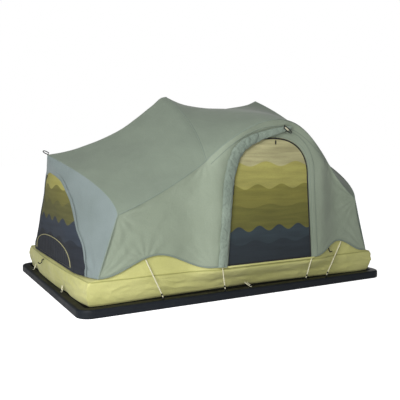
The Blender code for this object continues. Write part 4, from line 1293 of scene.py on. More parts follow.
        def place(s: float, t: float) -> Vector:
            """Return a point of the wall, t from the hem up.

            Args:
                s: Share of the way along.
                t: Share of the way across or up.

            Returns:
                The point.
            """
            crest = lines.crest(s * (1 - 2 * self.gap) + self.gap)
            point = lines.wall(crest, t * (1 - 2 * self.gap))
            loose = 1 - lines.door_weight(point.x)
            rim = smooth_step(min(s, 1 - s, (1 - t) * 1.5) / 0.06) * smooth_step(t / 0.02)
            point.y += tense * self.tension(point) * rim * (0.12 + 0.88 * loose) + 0.0008 * rim
            point = self.settle(point, Vector((0, -1, 0)), s, t, slack * loose + taut,
                                2.0 + side.value)
            return Vector((point.x, -side.value * point.y, point.z))

        wide = 2 * lines.foot[0]
        piece = grid(f"cloth_side_{side.label}", place, self.side_steps, (wide, 0.88), self.middle)
        self.finish_wall(piece, lines.door_outline(0.0, lines.hem - 0.06),
                         side.value * lines.door_plane_y, 0.08, Across.X)
        fit(piece, FLY, TENT, f"fly_side_{side.label}")
        declare_sheet(piece, (wide, 0.885), area_of(piece, 2), "stretched", "floor_tub")
        self.hem_tape(side)

    def hem_tape(self, side: Side) -> None:
        """Sew a narrow tape along the hem, in the two stretches beside the doorway.

        Args:
            side: The side.
        """
        lines = self.lines
        half = lines.door_halves[0] + 0.004
        feet = [lines.foot_of(lines.crest(0.002 + 0.996 * i / 399)) for i in range(400)]
        for end in End:
            beside = [foot + Vector((0, -self.cloth, 0.006)) for foot in feet
                      if end.value * (foot.x - lines.doorway_x) > half]
            route = flipped(beside[::3], side)
            self.sew(f"hem_tape_{side.label}_{end.label}", route,
                     [Vector((0, side.value, 0))] * len(route), *self.hem_size, 0.0002)

    def sew(self, name: str, *band: object) -> None:
        """Sew a band, of which ribbon() is told the rest, to the tent."""
        fit(ribbon(name, *band), SEAM, TENT)

    def end(self, end: End) -> None:
        """Make an end wall, with the window's opening cut out.

        Args:
            end: The end.
        """
        lines = self.lines

        def place(s: float, t: float) -> Vector:
            """Return a point of the wall, drawn together at its very top.

            Args:
                s: Share of the way along.
                t: Share of the way across or up.

            Returns:
                The point.
            """
            if t > 0.995:
                return lines.end_cloth(end, 0.5 + (s - 0.5) * (1 - t) / 0.005, t)
            point = lines.end_cloth(end, s, t)
            point.y *= 1 - self.gap
            return point

        piece = grid(f"cloth_end_{end.label}", place, lines.end_steps, (1.5, 0.75), self.middle)
        store(welded(piece, 0.00002), piece)
        self.finish_wall(piece, lines.window_outline(0.0, lines.hem - 0.05),
                         end.value * lines.end_wall_x, 0.2, Across.Y)
        fit(piece, ENDS, TENT, f"fly_end_{end.label}")
        declare_sheet(piece, (1.42, 0.67), area_of(piece, 2), "stretched",
                      f"end_arch_{end.label}")

    def seams(self) -> None:
        """Sew a raised seam along every crease of the canopy."""
        lines = self.lines
        for end in End:
            for kind, crease in (("hoop", lines.hoop_seam), ("arch", lines.end_seam),
                                 ("leg", lines.leg_seam)):
                route = [crease(end, i / 48) for i in range(49)]
                for side in Side:
                    # The far half of an arch leaves its top to the near half
                    first = 1 if kind != "leg" and side is Side.FAR else 0
                    self.seam(f"seam_{kind}_{end.label}_{side.label}", flipped(route, side)[first:])
        for side in Side:
            crest = [lines.crest(0.001 + 0.998 * i / 160) for i in range(161)]
            self.seam(f"seam_crest_{side.label}", flipped(crest, side))
            self.sleeve(side)

    def seam(self, name: str, route: list[Vector]) -> None:
        """Sew one folded seam along a crease."""
        out = [(point - Vector((point.x * 0.8, 0.0, 0.35))).normalized() for point in route]
        self.sew(name, route, out, *self.seam_size, self.cloth * 0.9)

    def sleeve(self, side: Side) -> None:
        """Stitch the lower edge of the pole sleeve, a hand's width under the brow's crest.

        Args:
            side: The side.
        """
        route = []
        for i in range(121):
            crest = self.lines.brow(0.02 + 0.96 * i / 120)
            foot = self.lines.foot_of(crest)
            point = self.lines.wall(crest, 1 - self.sleeve_drop / (crest.z - foot.z))
            route.append(Vector((point.x, side.value * (-point.y + self.cloth), point.z)))
        out = [Vector((0, side.value, 0.35)).normalized()] * len(route)
        self.sew(f"sleeve_stitch_{side.label}", route, out, *self.stitch_size, 0.0002)

    def build(self) -> None:
        """Make the whole canopy."""
        lines = self.lines
        self.slope(End.LEFT, (48, 120), 1.3)
        self.roof_panel("cloth_roof_middle", lines.mid_ridge, lines.brow,
                        partial(lines.hoop_seam, End.LEFT), partial(lines.hoop_seam, End.RIGHT),
                        (64, 120), 4.7)
        self.slope(End.RIGHT, (36, 120), 8.1)
        for side in Side:
            self.side(side)
        for end in End:
            self.end(end)
        self.seams()


@dataclass
class DoorSet:
    """One side's doorway: printed net door, zip, pull, storm flap, rolled outer door and toggle."""

    lines: CanopyLines
    side: Side
    cloth: float = 0.0012
    gap: float = 0.0006
    # Turns of the roll's spiral, points in a turn, fullness across it and steps between its knots
    turns: float = 4.5
    turn_steps: int = 26
    fullness: float = 1.1
    roll_steps: int = 14
    # Knots of the roll: x, z, width and thickness
    roll_route: Rows = (
        (-0.229, 0.203, 0.064, 0.024), (-0.217, 0.360, 0.066, 0.026), (-0.203, 0.541, 0.068, 0.028),
        (-0.189, 0.705, 0.072, 0.028), (-0.158, 0.836, 0.074, 0.028), (-0.105, 0.916, 0.070, 0.026),
        (-0.035, 0.960, 0.062, 0.022), (0.045, 0.987, 0.052, 0.018), (0.125, 1.010, 0.044, 0.015),
        (0.200, 1.030, 0.032, 0.013), (0.243, 1.040, 0.020, 0.011))
    # The toggle's tail: places along it and across it
    tail: Rows = (
        (-0.022, 0.0), (-0.014, 0.0070), (0.004, 0.0094), (0.030, 0.0084), (0.044, 0.0042),
        (0.047, 0.0), (0.044, -0.0042), (0.030, -0.0084), (0.004, -0.0094), (-0.014, -0.0070),
        (-0.022, 0.0))
    # Radii of the toggle's loop, its barrel and its tail
    toggle_radii: Point = (0.0018, 0.0042, 0.0024)
    # Places along the barrel and along the zip's slider, close together where an end is rounded off
    barrel: tuple[float, ...] = (-0.012, -0.011, -0.004, 0.003, 0.010, 0.017, 0.018)
    slider_rows: tuple[float, ...] = (0.006, 0.007, 0.010, 0.013, 0.014)
    slider_radius: float = 0.0034
    # Directions along the toggle's bar and across it
    bar_way: Point = (0.826, 0.0, -0.563)
    bar_over: Point = (0.563, 0.0, 0.826)
    # The net before it is cut: lowest and highest x, lowest and highest z
    net_box: tuple[float, float, float, float] = (-0.21, 0.48, 0.19, 0.99)
    # Width and thickness of the zip and of the rows of stitches
    zip_size: Pair = (0.009, 0.0016)
    stitch_size: Pair = (0.0025, 0.0030)
    # Steps round the doorway's arch in the bands that follow it, and the level that they start at
    arch_steps: int = 56
    band_foot: float = 0.212
    # The elastic loop's distance from the roll
    loop_gap: float = 0.0031
    tab_size: Point = (0.0085, 0.0022, 0.026)

    def name(self, label: str) -> str:
        """Return the name of one of this side's pieces or bodies."""
        return f"{label}_{self.side.label}"

    @property
    def body(self) -> str:
        """Body that the door's own pieces ride on."""
        return f"{self.side.label}_door"

    def out(self, x: float, depth: float, z: float) -> Vector:
        """Return a point at a distance from the tent's middle, on this side."""
        return Vector((x, self.side.value * depth, z))

    def leaf(self) -> None:
        """Make the printed net, slightly rippled between its taut edges."""
        lines = self.lines
        x0, x1, z0, z1 = self.net_box

        def place(s: float, t: float) -> Vector:
            """Return a point of the net.

            Args:
                s: Share of the way along.
                t: Share of the way across or up.

            Returns:
                The point.
            """
            x, z = x0 + (x1 - x0) * s, z0 + (z1 - z0) * t
            rim = smooth_step(min(s, 1 - s, t, 1 - t) / 0.2)
            ripple = noise.noise(Vector((x * 5, z * 3, self.side.value * 2.0)))
            return self.out(x, lines.door_plane_y + 0.0004 + rim * 0.0015 * ripple, z)

        piece = grid(self.name("net_door"), place, (60, 66), (x1 - x0, z1 - z0), (0.145, 0, 0.5))
        thicken(piece, self.cloth, 1.0)
        y = self.side.value * lines.door_plane_y
        cut(piece, prism(lines.door_outline(-self.gap, lines.sill), (y - 0.05, y + 0.05), Across.X),
            "INTERSECT")
        shade(piece)
        fit(piece, DOOR_NET, self.body, self.name("door"))
        declare_sheet(piece, (0.650, 0.776), area_of(piece, 2), "hung", self.name("fly_side"))

    def band(self, label: str, route: list[Vector], size: Pair, lift: float, finish: Surface,
             body: str) -> None:
        """Sew a band that faces straight out along a route, and fix it to a body."""
        piece = ribbon(self.name(label), route, [self.out(0, 1, 0)] * len(route), *size, lift)
        fit(piece, finish, body, slot="end_cloth" if finish.slot == FLY.slot else None)

    def edge_bands(self) -> None:
        """Lay the zip on the door's open edges, and cover the slits round the door."""

        def level(start: float, span: float, z: float) -> Outline:
            """Return points along the sill."""
            return [(start + span * i / 30, z) for i in range(31)]

        foot, steps, outline = self.band_foot, self.arch_steps, self.lines.door_outline
        arch = outline(-0.007, foot, steps)[10:]
        lip = [place for place in outline(0.002, foot, steps)[30:] if place[0] > -0.10]
        hinge = [place for place in outline(-0.001, 0.205, steps)[:40] if place[0] < -0.09]
        for label, places, off, size, finish, body in (
                ("zip_arch", arch, 0.0022, self.zip_size, ZIP, self.body),
                ("zip_sill", level(-0.185, 0.635, 0.2085), 0.0022, self.zip_size, ZIP, self.body),
                ("door_lip", lip, -0.0035, (0.012, 0.0010), ZIP, self.body),
                ("sill_tape", level(-0.218, 0.700, 0.1975), 0.0030, (0.011, 0.0010), TUB, TENT),
                ("hinge_tape", hinge, 0.0042, (0.010, 0.0010), FLY, TENT)):
            route = [self.out(x, self.lines.door_plane_y + off, z) for x, z in places]
            self.band(label, route, size, 0.0, finish, body)

    def storm_flap(self) -> None:
        """Lay the folded flap that covers the outer zip, with its two rows of stitches."""
        lines = self.lines
        for label, grow, size, finish in (
                ("storm_flap", 0.030, (0.040, 0.0022), FLY),
                ("storm_flap_stitch_outer", 0.047, self.stitch_size, SEAM),
                ("storm_flap_stitch_inner", 0.015, self.stitch_size, SEAM)):
            route = [self.out(x, -lines.wall_y(x, z), z)
                     for x, z in lines.door_outline(grow, lines.hem + 0.004, self.arch_steps)[40:]]
            self.band(label, route, size, 0.0022, finish, TENT)

    def roll_sections(self) -> list[tuple[Vector, Vector, float, float, float]]:
        """Return the roll's middles, directions, half sizes and distance from the tent's middle.

        Returns:
            One row for each section, in order along the roll.
        """
        steps = self.roll_steps
        middles = through([Vector((x, z)) for x, z, _, _ in self.roll_route], steps)
        sizes = through([Vector((wide, thick)) for _, _, wide, thick in self.roll_route], steps)
        out = []
        for i, (middle, size) in enumerate(zip(middles, sizes)):
            ahead = (middles[min(i + 1, len(middles) - 1)] - middles[max(i - 1, 0)]).normalized()
            across = Vector((-ahead.y, ahead.x))
            half = size.x / 2
            reach = max(-self.lines.wall_y(middle.x + across.x * half * k,
                                           middle.y + across.y * half * k) for k in (-1, 0, 1))
            # The roll's thin tail stands a little further off the wall
            clear = 0.0008 + 0.0048 * smooth_step((3 - (len(middles) - i) / steps) / 1.5)
            out.append((middle, across, self.fullness * half, size.y / 2,
                        reach + 0.002 + clear + size.y / 2))
        return out

    def roll(self) -> None:
        """Roll the outer door up as a spiral of cloth and hang it beside the doorway."""
        bm = bmesh.new()
        rings = []
        count = int(self.turns * self.turn_steps)
        sections = self.roll_sections()
        for i, (middle, across, wide, thick, depth) in enumerate(sections):
            ring = []
            slack = 0.5 + 0.5 * smooth_step(i / 12)
            for k in range(count + 1):
                share = 0.14 + 0.86 * k / count
                angle = 2 * math.pi * self.turns * k / count + 0.5 * math.sin(i * 0.11)
                around = Vector((i * 0.16, math.cos(angle), math.sin(angle)))
                ruck = Vector((i * 0.62, 2.6 * math.cos(angle + i * 0.07),
                               2.6 * math.sin(angle + i * 0.07)))
                sag = 1 + slack * (0.09 * noise.noise(around) + 0.12 * noise.noise(ruck) - 0.05)
                over = across * (math.cos(angle) * wide * share * sag * 0.97)
                ring.append(bm.verts.new(self.out(
                    middle.x + over.x, depth + math.sin(angle) * thick * share * sag * 0.97,
                    middle.y + over.y)))
            rings.append(ring)
        for low, high in zip(rings, rings[1:]):
            for corners in zip(low, low[1:], high[1:], high):
                bm.faces.new(corners)
        bm.normal_update()
        piece = linked(self.name("rolled_door"), bpy.data.meshes.new("roll"))
        store(bm, piece)
        area = area_of(piece)
        outer = piece.data.polygons[count - 3]
        middle, _, _, _, depth = sections[0]
        if outer.normal.dot(outer.center - self.out(middle.x, depth, middle.y)) < 0:
            piece.data.flip_normals()
        thicken(piece, 0.0007, -1.0)
        shade(piece, 60)
        fit(piece, ROLLED, TENT, self.name("door_roll"))
        declare_sheet(piece, (round(area / 1.06, 3), 1.06), area, "folded", self.name("fly_side"))

    def toggle(self) -> None:
        """Tie the roll's top with an elastic loop, a black becket and a pale barrel toggle."""
        middle, across, wide, thick, depth = self.roll_sections()[-1 - self.roll_steps]
        loop_radius, barrel_radius, tail_radius = self.toggle_radii
        loop = []
        for k in range(24):
            angle = 2 * math.pi * k / 24
            over = across * (math.cos(angle) * (wide + self.loop_gap))
            loop.append(self.out(middle.x + over.x,
                                 depth + math.sin(angle) * (thick + self.loop_gap),
                                 middle.y + over.y))
        fit(tube(self.name("toggle_loop"), loop, loop_radius, closed=True), PLASTIC, TENT,
            self.name("roll_toggle"))
        top = self.out(middle.x, depth + thick + 0.0066, middle.y)
        lean, over = Vector(self.bar_way), Vector(self.bar_over)
        bar = [top + lean * d for d in self.barrel]
        barrel = tube(self.name("toggle_barrel"), bar, barrel_radius)
        tail = through([top + lean * far + over * wide for far, wide in self.tail], 4)[:-1]
        strap = tube(self.name("toggle_tail"), tail, tail_radius, closed=True)
        fit(barrel, CORD, TENT)
        fit(strap, PLASTIC, TENT)

    def slider(self) -> None:
        """Set the moulded slider on the zip, over its pull."""
        low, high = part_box(self.name("zip_pull"))
        plane = self.lines.door_plane_y + 0.0045
        route = [self.out(((low + high) / 2).x, plane, high.z + d) for d in self.slider_rows]
        fit(tube(self.name("zip_slider"), route, self.slider_radius), PLASTIC, self.body)

    def pull(self) -> None:
        """Hang a waisted pull from the zip's slider."""
        low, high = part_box(self.name("zip_pull"))
        middle = (low + high) / 2
        select_only(None)
        bpy.ops.mesh.primitive_cube_add(size=1.0, location=middle)
        piece = bpy.context.object
        piece.name = self.name("zip_tab")
        piece.scale = self.tab_size
        select_only(piece)
        bpy.ops.object.transform_apply(location=True, rotation=True, scale=True)
        bpy.ops.object.mode_set(mode="EDIT")
        bpy.ops.mesh.select_all(action="SELECT")
        bpy.ops.mesh.subdivide(number_cuts=3)
        bpy.ops.mesh.bevel(offset=0.0007, segments=2)
        bpy.ops.object.mode_set(mode="OBJECT")
        for vertex in piece.data.vertices:
            drop = (high.z - vertex.co.z) / (high.z - low.z)
            vertex.co.x = (middle.x + (vertex.co.x - middle.x)
                           * (0.62 + 0.38 * math.sin(math.pi * drop)))
        shade(piece)
        fit(piece, PLASTIC, f"{self.side.label}_zip", self.name("zip_pull"))

    def build(self) -> None:
        """Make the whole doorway."""
        self.leaf()
        self.edge_bands()
        self.storm_flap()
        self.roll()
        self.toggle()
        self.slider()
        self.pull()


@dataclass
class EndWindow:
    """One end's printed net window, with the vent flap at its foot."""

    lines: CanopyLines
    end: End
    cloth: float = 0.0012
    # The vent's half width, the level of its foot and its height
    vent: Point = (0.420, 0.2150, 0.138)
    vent_power: float = 2.3
    vent_gap: float = 0.0010
    # How far the net lies inside the end wall's face
    inset: float = 0.0005
    band_foot: float = 0.206
    # Widths and thicknesses of what is sewn round the window
    band_size: Pair = (0.022, 0.0012)
    stitch_size: Pair = (0.0020, 0.0009)
    zip_size: Pair = (0.009, 0.0018)
    slider_size: Pair = (0.013, 0.0042)
    # The zip runs where y and z are over these
    zip_from: Pair = (0.02, 0.235)
    # The net's edge: how far outside the window it runs, and its lowest level
    net_edge: Pair = (0.018, 0.201)
    flap_cloth: float = 0.0008
    # How far the flap's sheet reaches past the vent before it is cut
    margin: float = 0.01
    # Depth of the flap's pleats, and their turn for each metre
    pleats: Pair = (0.0007, 150)
    # The piping's distance from the opening's edge, and its radius
    piping: Pair = (0.006, 0.0026)

    def name(self, label: str) -> str:
        """Return the name of one of this end's pieces."""
        return f"{label}_{self.end.label}"

    def out(self, depth: float, y: float, z: float) -> Vector:
        """Return a point at a distance outside the flat part's outer face, at this end."""
        return Vector((self.end.value * (self.lines.end_wall_x - self.inset + depth), y, z))

    def vent_outline(self, trim: float, steps: int = 40) -> Outline:
        """Return the vent's outline (y, z).

        Args:
            trim: How far inside the opening it runs.
            steps: Steps along the arch.

        Returns:
            The outline.
        """
        half, sill, rise = self.vent
        power = 2 / self.vent_power
        points = []
        for i in range(steps + 1):
            angle = math.pi * (1 - i / steps)
            points.append((power_of(math.cos(angle), power) * (half - trim),
                           sill + trim + max(math.sin(angle), 0.0) ** power * (rise - 2 * trim)))
        return points

    def trim_to(self, piece: Piece, outline: Outline, x: float, reach: float,
                operation: str) -> None:
        """Cut a sheet by an outline that runs through it."""
        cut(piece, prism(outline, (x - reach, x + reach), Across.Y), operation)

    def pane(self) -> None:
        """Make the net window with the vent's opening."""
        lines = self.lines

        def place(s: float, t: float) -> Vector:
            """Return a point of the net, just inside the end wall.

            Args:
                s: Share of the way along.
                t: Share of the way across or up.

            Returns:
                The point.
            """
            point = lines.end_cloth(self.end, s, t)
            point.x -= self.end.value * self.inset
            return point

        piece = grid(self.name("net_window"), place, lines.end_steps, (1.5, 0.75), (0, 0, 0.3))
        thicken(piece, self.cloth, -1.0)
        x = self.end.value * lines.end_wall_x
        self.trim_to(piece, lines.window_outline(*self.net_edge), x, 0.2, "INTERSECT")
        self.trim_to(piece, self.vent_outline(0.0), x, 0.03, "DIFFERENCE")
        shade(piece)
        fit(piece, WINDOW_NET, TENT, self.name("window"))
        declare_sheet(piece, (1.26, 0.60), area_of(piece, 2), "stretched", self.name("fly_end"))

    def flap(self) -> None:
        """Make the vent flap with shallow gathers, and its corded edge."""
        half, sill, rise = self.vent
        margin, (depth, turn), (inside, radius) = self.margin, self.pleats, self.piping
        body = f"{self.end.label}_vent"

        def place(s: float, t: float) -> Vector:
            """Return a point of the flap.

            Args:
                s: Share of the way along.
                t: Share of the way across or up.

            Returns:
                The point.
            """
            y = (2 * s - 1) * (half + margin)
            pleat = depth * math.sin(y * turn) * smooth_step(t * 3)
            return self.out(-0.0009 + pleat, y, sill - margin + (rise + 2 * margin) * t)

        piece = grid(self.name("vent_cloth"), place, (150, 24), (2 * half, rise), (0, 0, 0.25))
        thicken(piece, self.flap_cloth, -1.0)
        x = self.end.value * (self.lines.end_wall_x - self.inset)
        self.trim_to(piece, self.vent_outline(self.vent_gap), x, 0.03, "INTERSECT")
        shade(piece)
        fit(piece, WINDOW_NET, body, self.name("vent_flap"))
        declare_sheet(piece, (0.84, 0.137), area_of(piece, 2), "hung", self.name("window"))
        route = [self.out(0.0006, y, z) for y, z in self.vent_outline(inside, 56)]
        fit(tube(self.name("vent_piping"), route, radius), PIPING, body)

    def trim(self) -> None:
        """Sew the broad band round the window, its two rows of stitches, and the zip inside it."""
        y, z = self.zip_from
        far = [point for point in self.edge_route(-0.006) if point.y > y and point.z > z]
        highest = sorted(far, key=lambda point: -point.z)
        for label, route, size, lift, finish in (
                ("band", self.edge_route(0.013), self.band_size, 0.0017, ENDS),
                ("stitch_inner", self.edge_route(0.004), self.stitch_size, 0.0025, ENDS),
                ("stitch_outer", self.edge_route(0.022), self.stitch_size, 0.0025, ENDS),
                ("zip", far, self.zip_size, 0.0002, ZIP),
                ("slider", highest[:3], self.slider_size, 0.0010, PLASTIC)):
            out = [self.away(point) for point in route]
            fit(ribbon(self.name(f"window_{label}"), route, out, *size, lift), finish, TENT)

    def edge_route(self, grow: float) -> list[Vector]:
        """Return the window's outline, laid on the end's cloth."""
        return [self.on_wall(y, z) for y, z in self.lines.window_outline(grow, self.band_foot)]

    def away(self, point: Vector) -> Vector:
        """Return the direction out of the end's cloth at a point of it.

        Args:
            point: The point.

        Returns:
            The direction.
        """
        step = 0.012
        over = self.on_wall(point.y + step, point.z) - self.on_wall(point.y - step, point.z)
        up = self.on_wall(point.y, point.z + step) - self.on_wall(point.y, point.z - step)
        way = over.cross(up).normalized()
        return way if way.x * self.end.value > 0 else -way

    def on_wall(self, y: float, z: float) -> Vector:
        """Return the point of the end's cloth at a place across it and a height.

        Args:
            y: Distance along Y.
            z: Height.

        Returns:
            The point.
        """
        low, high = 0.0, 1.0
        for _ in range(30):
            t = (low + high) / 2
            if self.lines.end_point(self.end, 0.5, t).z < z:
                low = t
            else:
                high = t
        edge = self.lines.end_point(self.end, 0.0, low)
        share = 0.5 - y / abs(edge.y) / 2 * math.copysign(1, -edge.y)
        return self.lines.end_cloth(self.end, share, low)

    def build(self) -> None:
        """Make the whole window."""
        self.pane()
        self.flap()
        self.trim()


@dataclass
class FloorTub:
    """The waterproof floor with its turned-up walls, a loose tray of heavy cloth."""

    lines: CanopyLines
    base: float = 0.0471
    cloth: float = 0.0022
    radius: float = 0.007
    # How far the rim stands over the fly's hem, and under it inside the doorway
    rim: Pair = (0.014, 0.003)
    end_rim: float = 0.006
    # Beyond this distance from the middle, a point is on a long wall
    long_wall_y: float = 0.655
    # Height over the deck, half length and how much shorter it is at its corners, half width and
    # how far that is drawn in halfway along
    levels: Rows = (
        (0.0, 1.054, 0.022, 0.688, 0.045), (0.010, 1.063, 0.022, 0.695, 0.042),
        (0.050, 1.067, 0.020, 0.697, 0.028), (0.085, 1.069, 0.020, 0.698, 0.016),
        (0.120, 1.066, 0.024, 0.699, 0.004), (0.137, 1.061, 0.031, 0.697, 0.0),
        (0.145, 1.048, 0.052, 0.692, 0.0), (0.150, 1.039, 0.067, 0.689, 0.0))
    # Levels of the seam and of the tuck over it, and the share of the cloth that is below it
    seam_up: float = 0.137
    tuck_up: float = 0.147
    knee: float = 0.80
    # Places where the foot is drawn in by elastic or gathered at a corner, and the way it moves
    pulled: Rows = (
        (-1.050, -0.290, 0.013, 0.0), (-1.050, 0.450, 0.013, 0.0), (0.0, -0.660, 0.0, 0.013),
        (-1.045, -0.690, 0.010, 0.016), (-1.045, 0.690, 0.010, -0.016),
        (1.045, -0.690, -0.010, 0.016), (1.045, 0.690, -0.010, -0.016))
    pull_reach: float = 0.085
    # Depths of the wall's sag, its rucks, the creases that drag across it and the gathers at its
    # seam, and how far it is pressed in
    folds: tuple[float, ...] = (0.0036, 0.0034, 0.0034, 0.0022, 0.0030)
    # Level from which the long walls lean out, and the height over which they do
    lean_from: float = 0.050
    lean_over: float = 0.087
    # Small hooks: name, place and the direction out of the cloth
    tabs: tuple[tuple[str, Point, Point], ...] = (
        ("left", (-1.0640, 0.160, 0.176), (-1.0, 0.0, 0.0)),
        ("near", (0.6290, -0.700, 0.243), (0.0, -1.0, 0.0)))
    # A hook's route: places to the side of its webbing, out of the cloth and up
    tab_route: tuple[Point, ...] = (
        (0.0, 0.0, 0.0), (0.004, 0.012, -0.004), (0.006, 0.018, -0.020), (0.008, 0.030, -0.026),
        (0.010, 0.042, -0.018))

    def level(self, up: float) -> tuple[float, float, float, float]:
        """Return the sizes of the tub at a height over the deck.

        Args:
            up: The height.

        Returns:
            Half length, what it loses at its corners, half width and what that loses halfway along.
        """
        for low, high in zip(self.levels, self.levels[1:]):
            if up <= high[0]:
                t = (up - low[0]) / (high[0] - low[0])
                return tuple(a + (b - a) * t for a, b in zip(low[1:], high[1:]))
        return self.levels[-1][1:]

    def point(self, around: float, up: float) -> tuple[float, float, Vector]:
        """Return a point of the wall and the direction out of it.

        Args:
            around: Share of the way round, from the middle of the right end.
            up: Height over the deck.

        Returns:
            x, y and the direction.
        """
        half_x, short, half_y, waist = self.level(up)
        flat_x, flat_y = half_x - short - self.radius, half_y - self.radius
        arc = math.pi / 2 * self.radius
        # Half an end, then corner, long wall, corner, end, corner, long wall, corner, half an end
        spans = [flat_y, arc, 2 * flat_x, arc, 2 * flat_y, arc, 2 * flat_x, arc, flat_y]
        left = around * sum(spans)
        for k, span in enumerate(spans):
            if left <= span or k == len(spans) - 1:
                break
            left -= span
        t = min(left / span, 1.0)
        if k % 2:
            quarter = k // 2
            angle = math.pi / 2 * (quarter + t)
            sx, sy = ((1, 1), (-1, 1), (-1, -1), (1, -1))[quarter]
            way = Vector((math.cos(angle), math.sin(angle), 0))
            return sx * flat_x + self.radius * way.x, sy * flat_y + self.radius * way.y, way
        if k in (2, 6):
            sign = 1 if k == 2 else -1
            x = sign * flat_x * (1 - 2 * t)
            bow = 1 - (x / flat_x) ** 2
            return x, sign * (half_y - waist * bow), Vector((0, sign, 0))
        sign = -1 if k == 4 else 1
        y = {0: flat_y * t, 4: flat_y * (1 - 2 * t), 8: -flat_y * (1 - t)}[k]
        bow = 1 - (y / flat_y) ** 2
        return sign * (half_x - short + short * bow), y, Vector((sign, 0, 0))

    def rim_up(self, x: float, y: float) -> float:
        """Return the rim's height over the deck, which follows the hem.

        Args:
            x: Distance along X.
            y: Distance along Y.

        Returns:
            The height.
        """
        lines = self.lines
        if abs(y) < self.long_wall_y:
            return lines.hem + self.end_rim - self.base
        raised = smooth_step((abs(x - lines.doorway_x) - lines.door_halves[0] - 0.004) / 0.018)
        return lines.hem_z(x) + self.rim[0] * raised - self.rim[1] * (1 - raised) - self.base

    def lean(self, x: float, y: float, up: float) -> Vector:
        """Return how far a long wall leans out, to meet the fly's foot beside the doorway.

        Args:
            x: Distance along X.
            y: Distance along Y.
            up: Height over the deck.

        Returns:
            The way that a point moves.
        """
        lines = self.lines
        if abs(y) < self.long_wall_y:
            return Vector((0.0, 0.0, 0.0))
        out = (lines.door_plane_y - lines.foot[1]) * lines.door_weight(x)
        share = smooth_step((up - self.lean_from) / self.lean_over)
        return Vector((0.0, math.copysign(out * share, y), 0.0))

    def wall_point(self, around: float, t: float) -> Vector:
        """Return a point of the creased wall: round it, and from its foot up to its rim.

        Args:
            around: Share of the way round, from the middle of the right end.
            t: Share of the way up.

        Returns:
            The point.
        """
        highest = self.levels[-1][0]
        x, y, _ = self.point(around, highest)
        top, knee = self.rim_up(x, y), self.knee
        up = (self.tuck_up * t / knee if t < knee
              else self.tuck_up + (top - self.tuck_up) * (t - knee) / (1 - knee))
        x, y, way = self.point(around, min(up, highest))
        belly = math.sin(math.pi * min(t / knee, 1.0))
        broad = Vector((x * 4.0, y * 4.0, up * 16))
        sag = noise.noise(broad) + 0.5 * noise.noise(broad * 2.3)
        ruck = noise.noise(Vector((x * 10, y * 10, up * 40)))
        gather = (noise.noise(Vector((x * 55, y * 55, 0.0)))
                  * math.exp(-((up - 0.135) / 0.035) ** 2))
        drag = abs(noise.noise(Vector((x * 7 + up * 13, y * 7 - up * 13, 2.0))))
        crease = max(1 - 4.5 * drag, 0.0) ** 1.5
        depths = self.folds
        push = belly * (depths[0] * sag + depths[1] * ruck + depths[2] * crease
                        + depths[3] * gather - depths[4])
        foot = 1 - smooth_step(up / 0.075)
        place = Vector((x, y, self.base + up)) + way * push + self.lean(x, y, up)
        for pin_x, pin_y, move_x, move_y in self.pulled:
            near = math.exp(-((x - pin_x) ** 2 + (y - pin_y) ** 2) / self.pull_reach ** 2)
            place += Vector((move_x, move_y, 0.0)) * foot * near
        return place

    def tray(self) -> None:
        """Make the wall, close it with a floor and give it its thickness."""
        piece = grid("floor_cloth", self.wall_point, (640, 36), (6.8, 0.18), (0, 0, 0.1))
        bm = welded(piece, 0.0001)
        lowest = self.base + 0.004
        foot = [edge for edge in bm.edges
                if edge.is_boundary and all(vert.co.z < lowest for vert in edge.verts)]
        bmesh.ops.contextual_create(bm, geom=foot)
        bmesh.ops.recalc_face_normals(bm, faces=bm.faces)
        floor = max(bm.faces, key=lambda face: face.calc_area())
        if floor.normal.z > 0:
            bmesh.ops.reverse_faces(bm, faces=bm.faces)
        bmesh.ops.triangulate(bm, faces=[floor])
        store(bm, piece)
        area = area_of(piece)
        thicken(piece, self.cloth, -1.0)
        shade(piece)
        fit(piece, TUB, TENT, "floor_tub")
        declare_sheet(piece, (2.47, 1.76), area, "stretched", "base_deck")

    def seam(self) -> None:
        """Sew the seam round the wall."""
        route, out = [], []
        for i in range(360):
            x, y, way = self.point(i / 360, self.seam_up)
            wobble = 0.002 * noise.noise(Vector((x * 7, y * 7, 0)))
            place = Vector((x, y, self.base + self.seam_up + wobble))
            route.append(place + self.lean(x, y, self.seam_up) - way * 0.001)
            out.append(way)
        fit(ribbon("floor_seam", route, out, 0.006, 0.0026, 0.0, closed=True), TUB_SEAM, TENT)

    def build(self) -> None:
        """Make the tray, its seam and its small moulded hooks."""
        self.tray()
        self.seam()
        for label, place, way in self.tabs:
            way = Vector(way)
            over = Vector((-way.y, way.x, 0.0))
            hang = [Vector(place) + over * side + way * out + UP * up
                    for side, out, up in self.tab_route]
            fit(tube(f"tub_hook_{label}", through(hang, 4), 0.0034), PLASTIC, TENT)


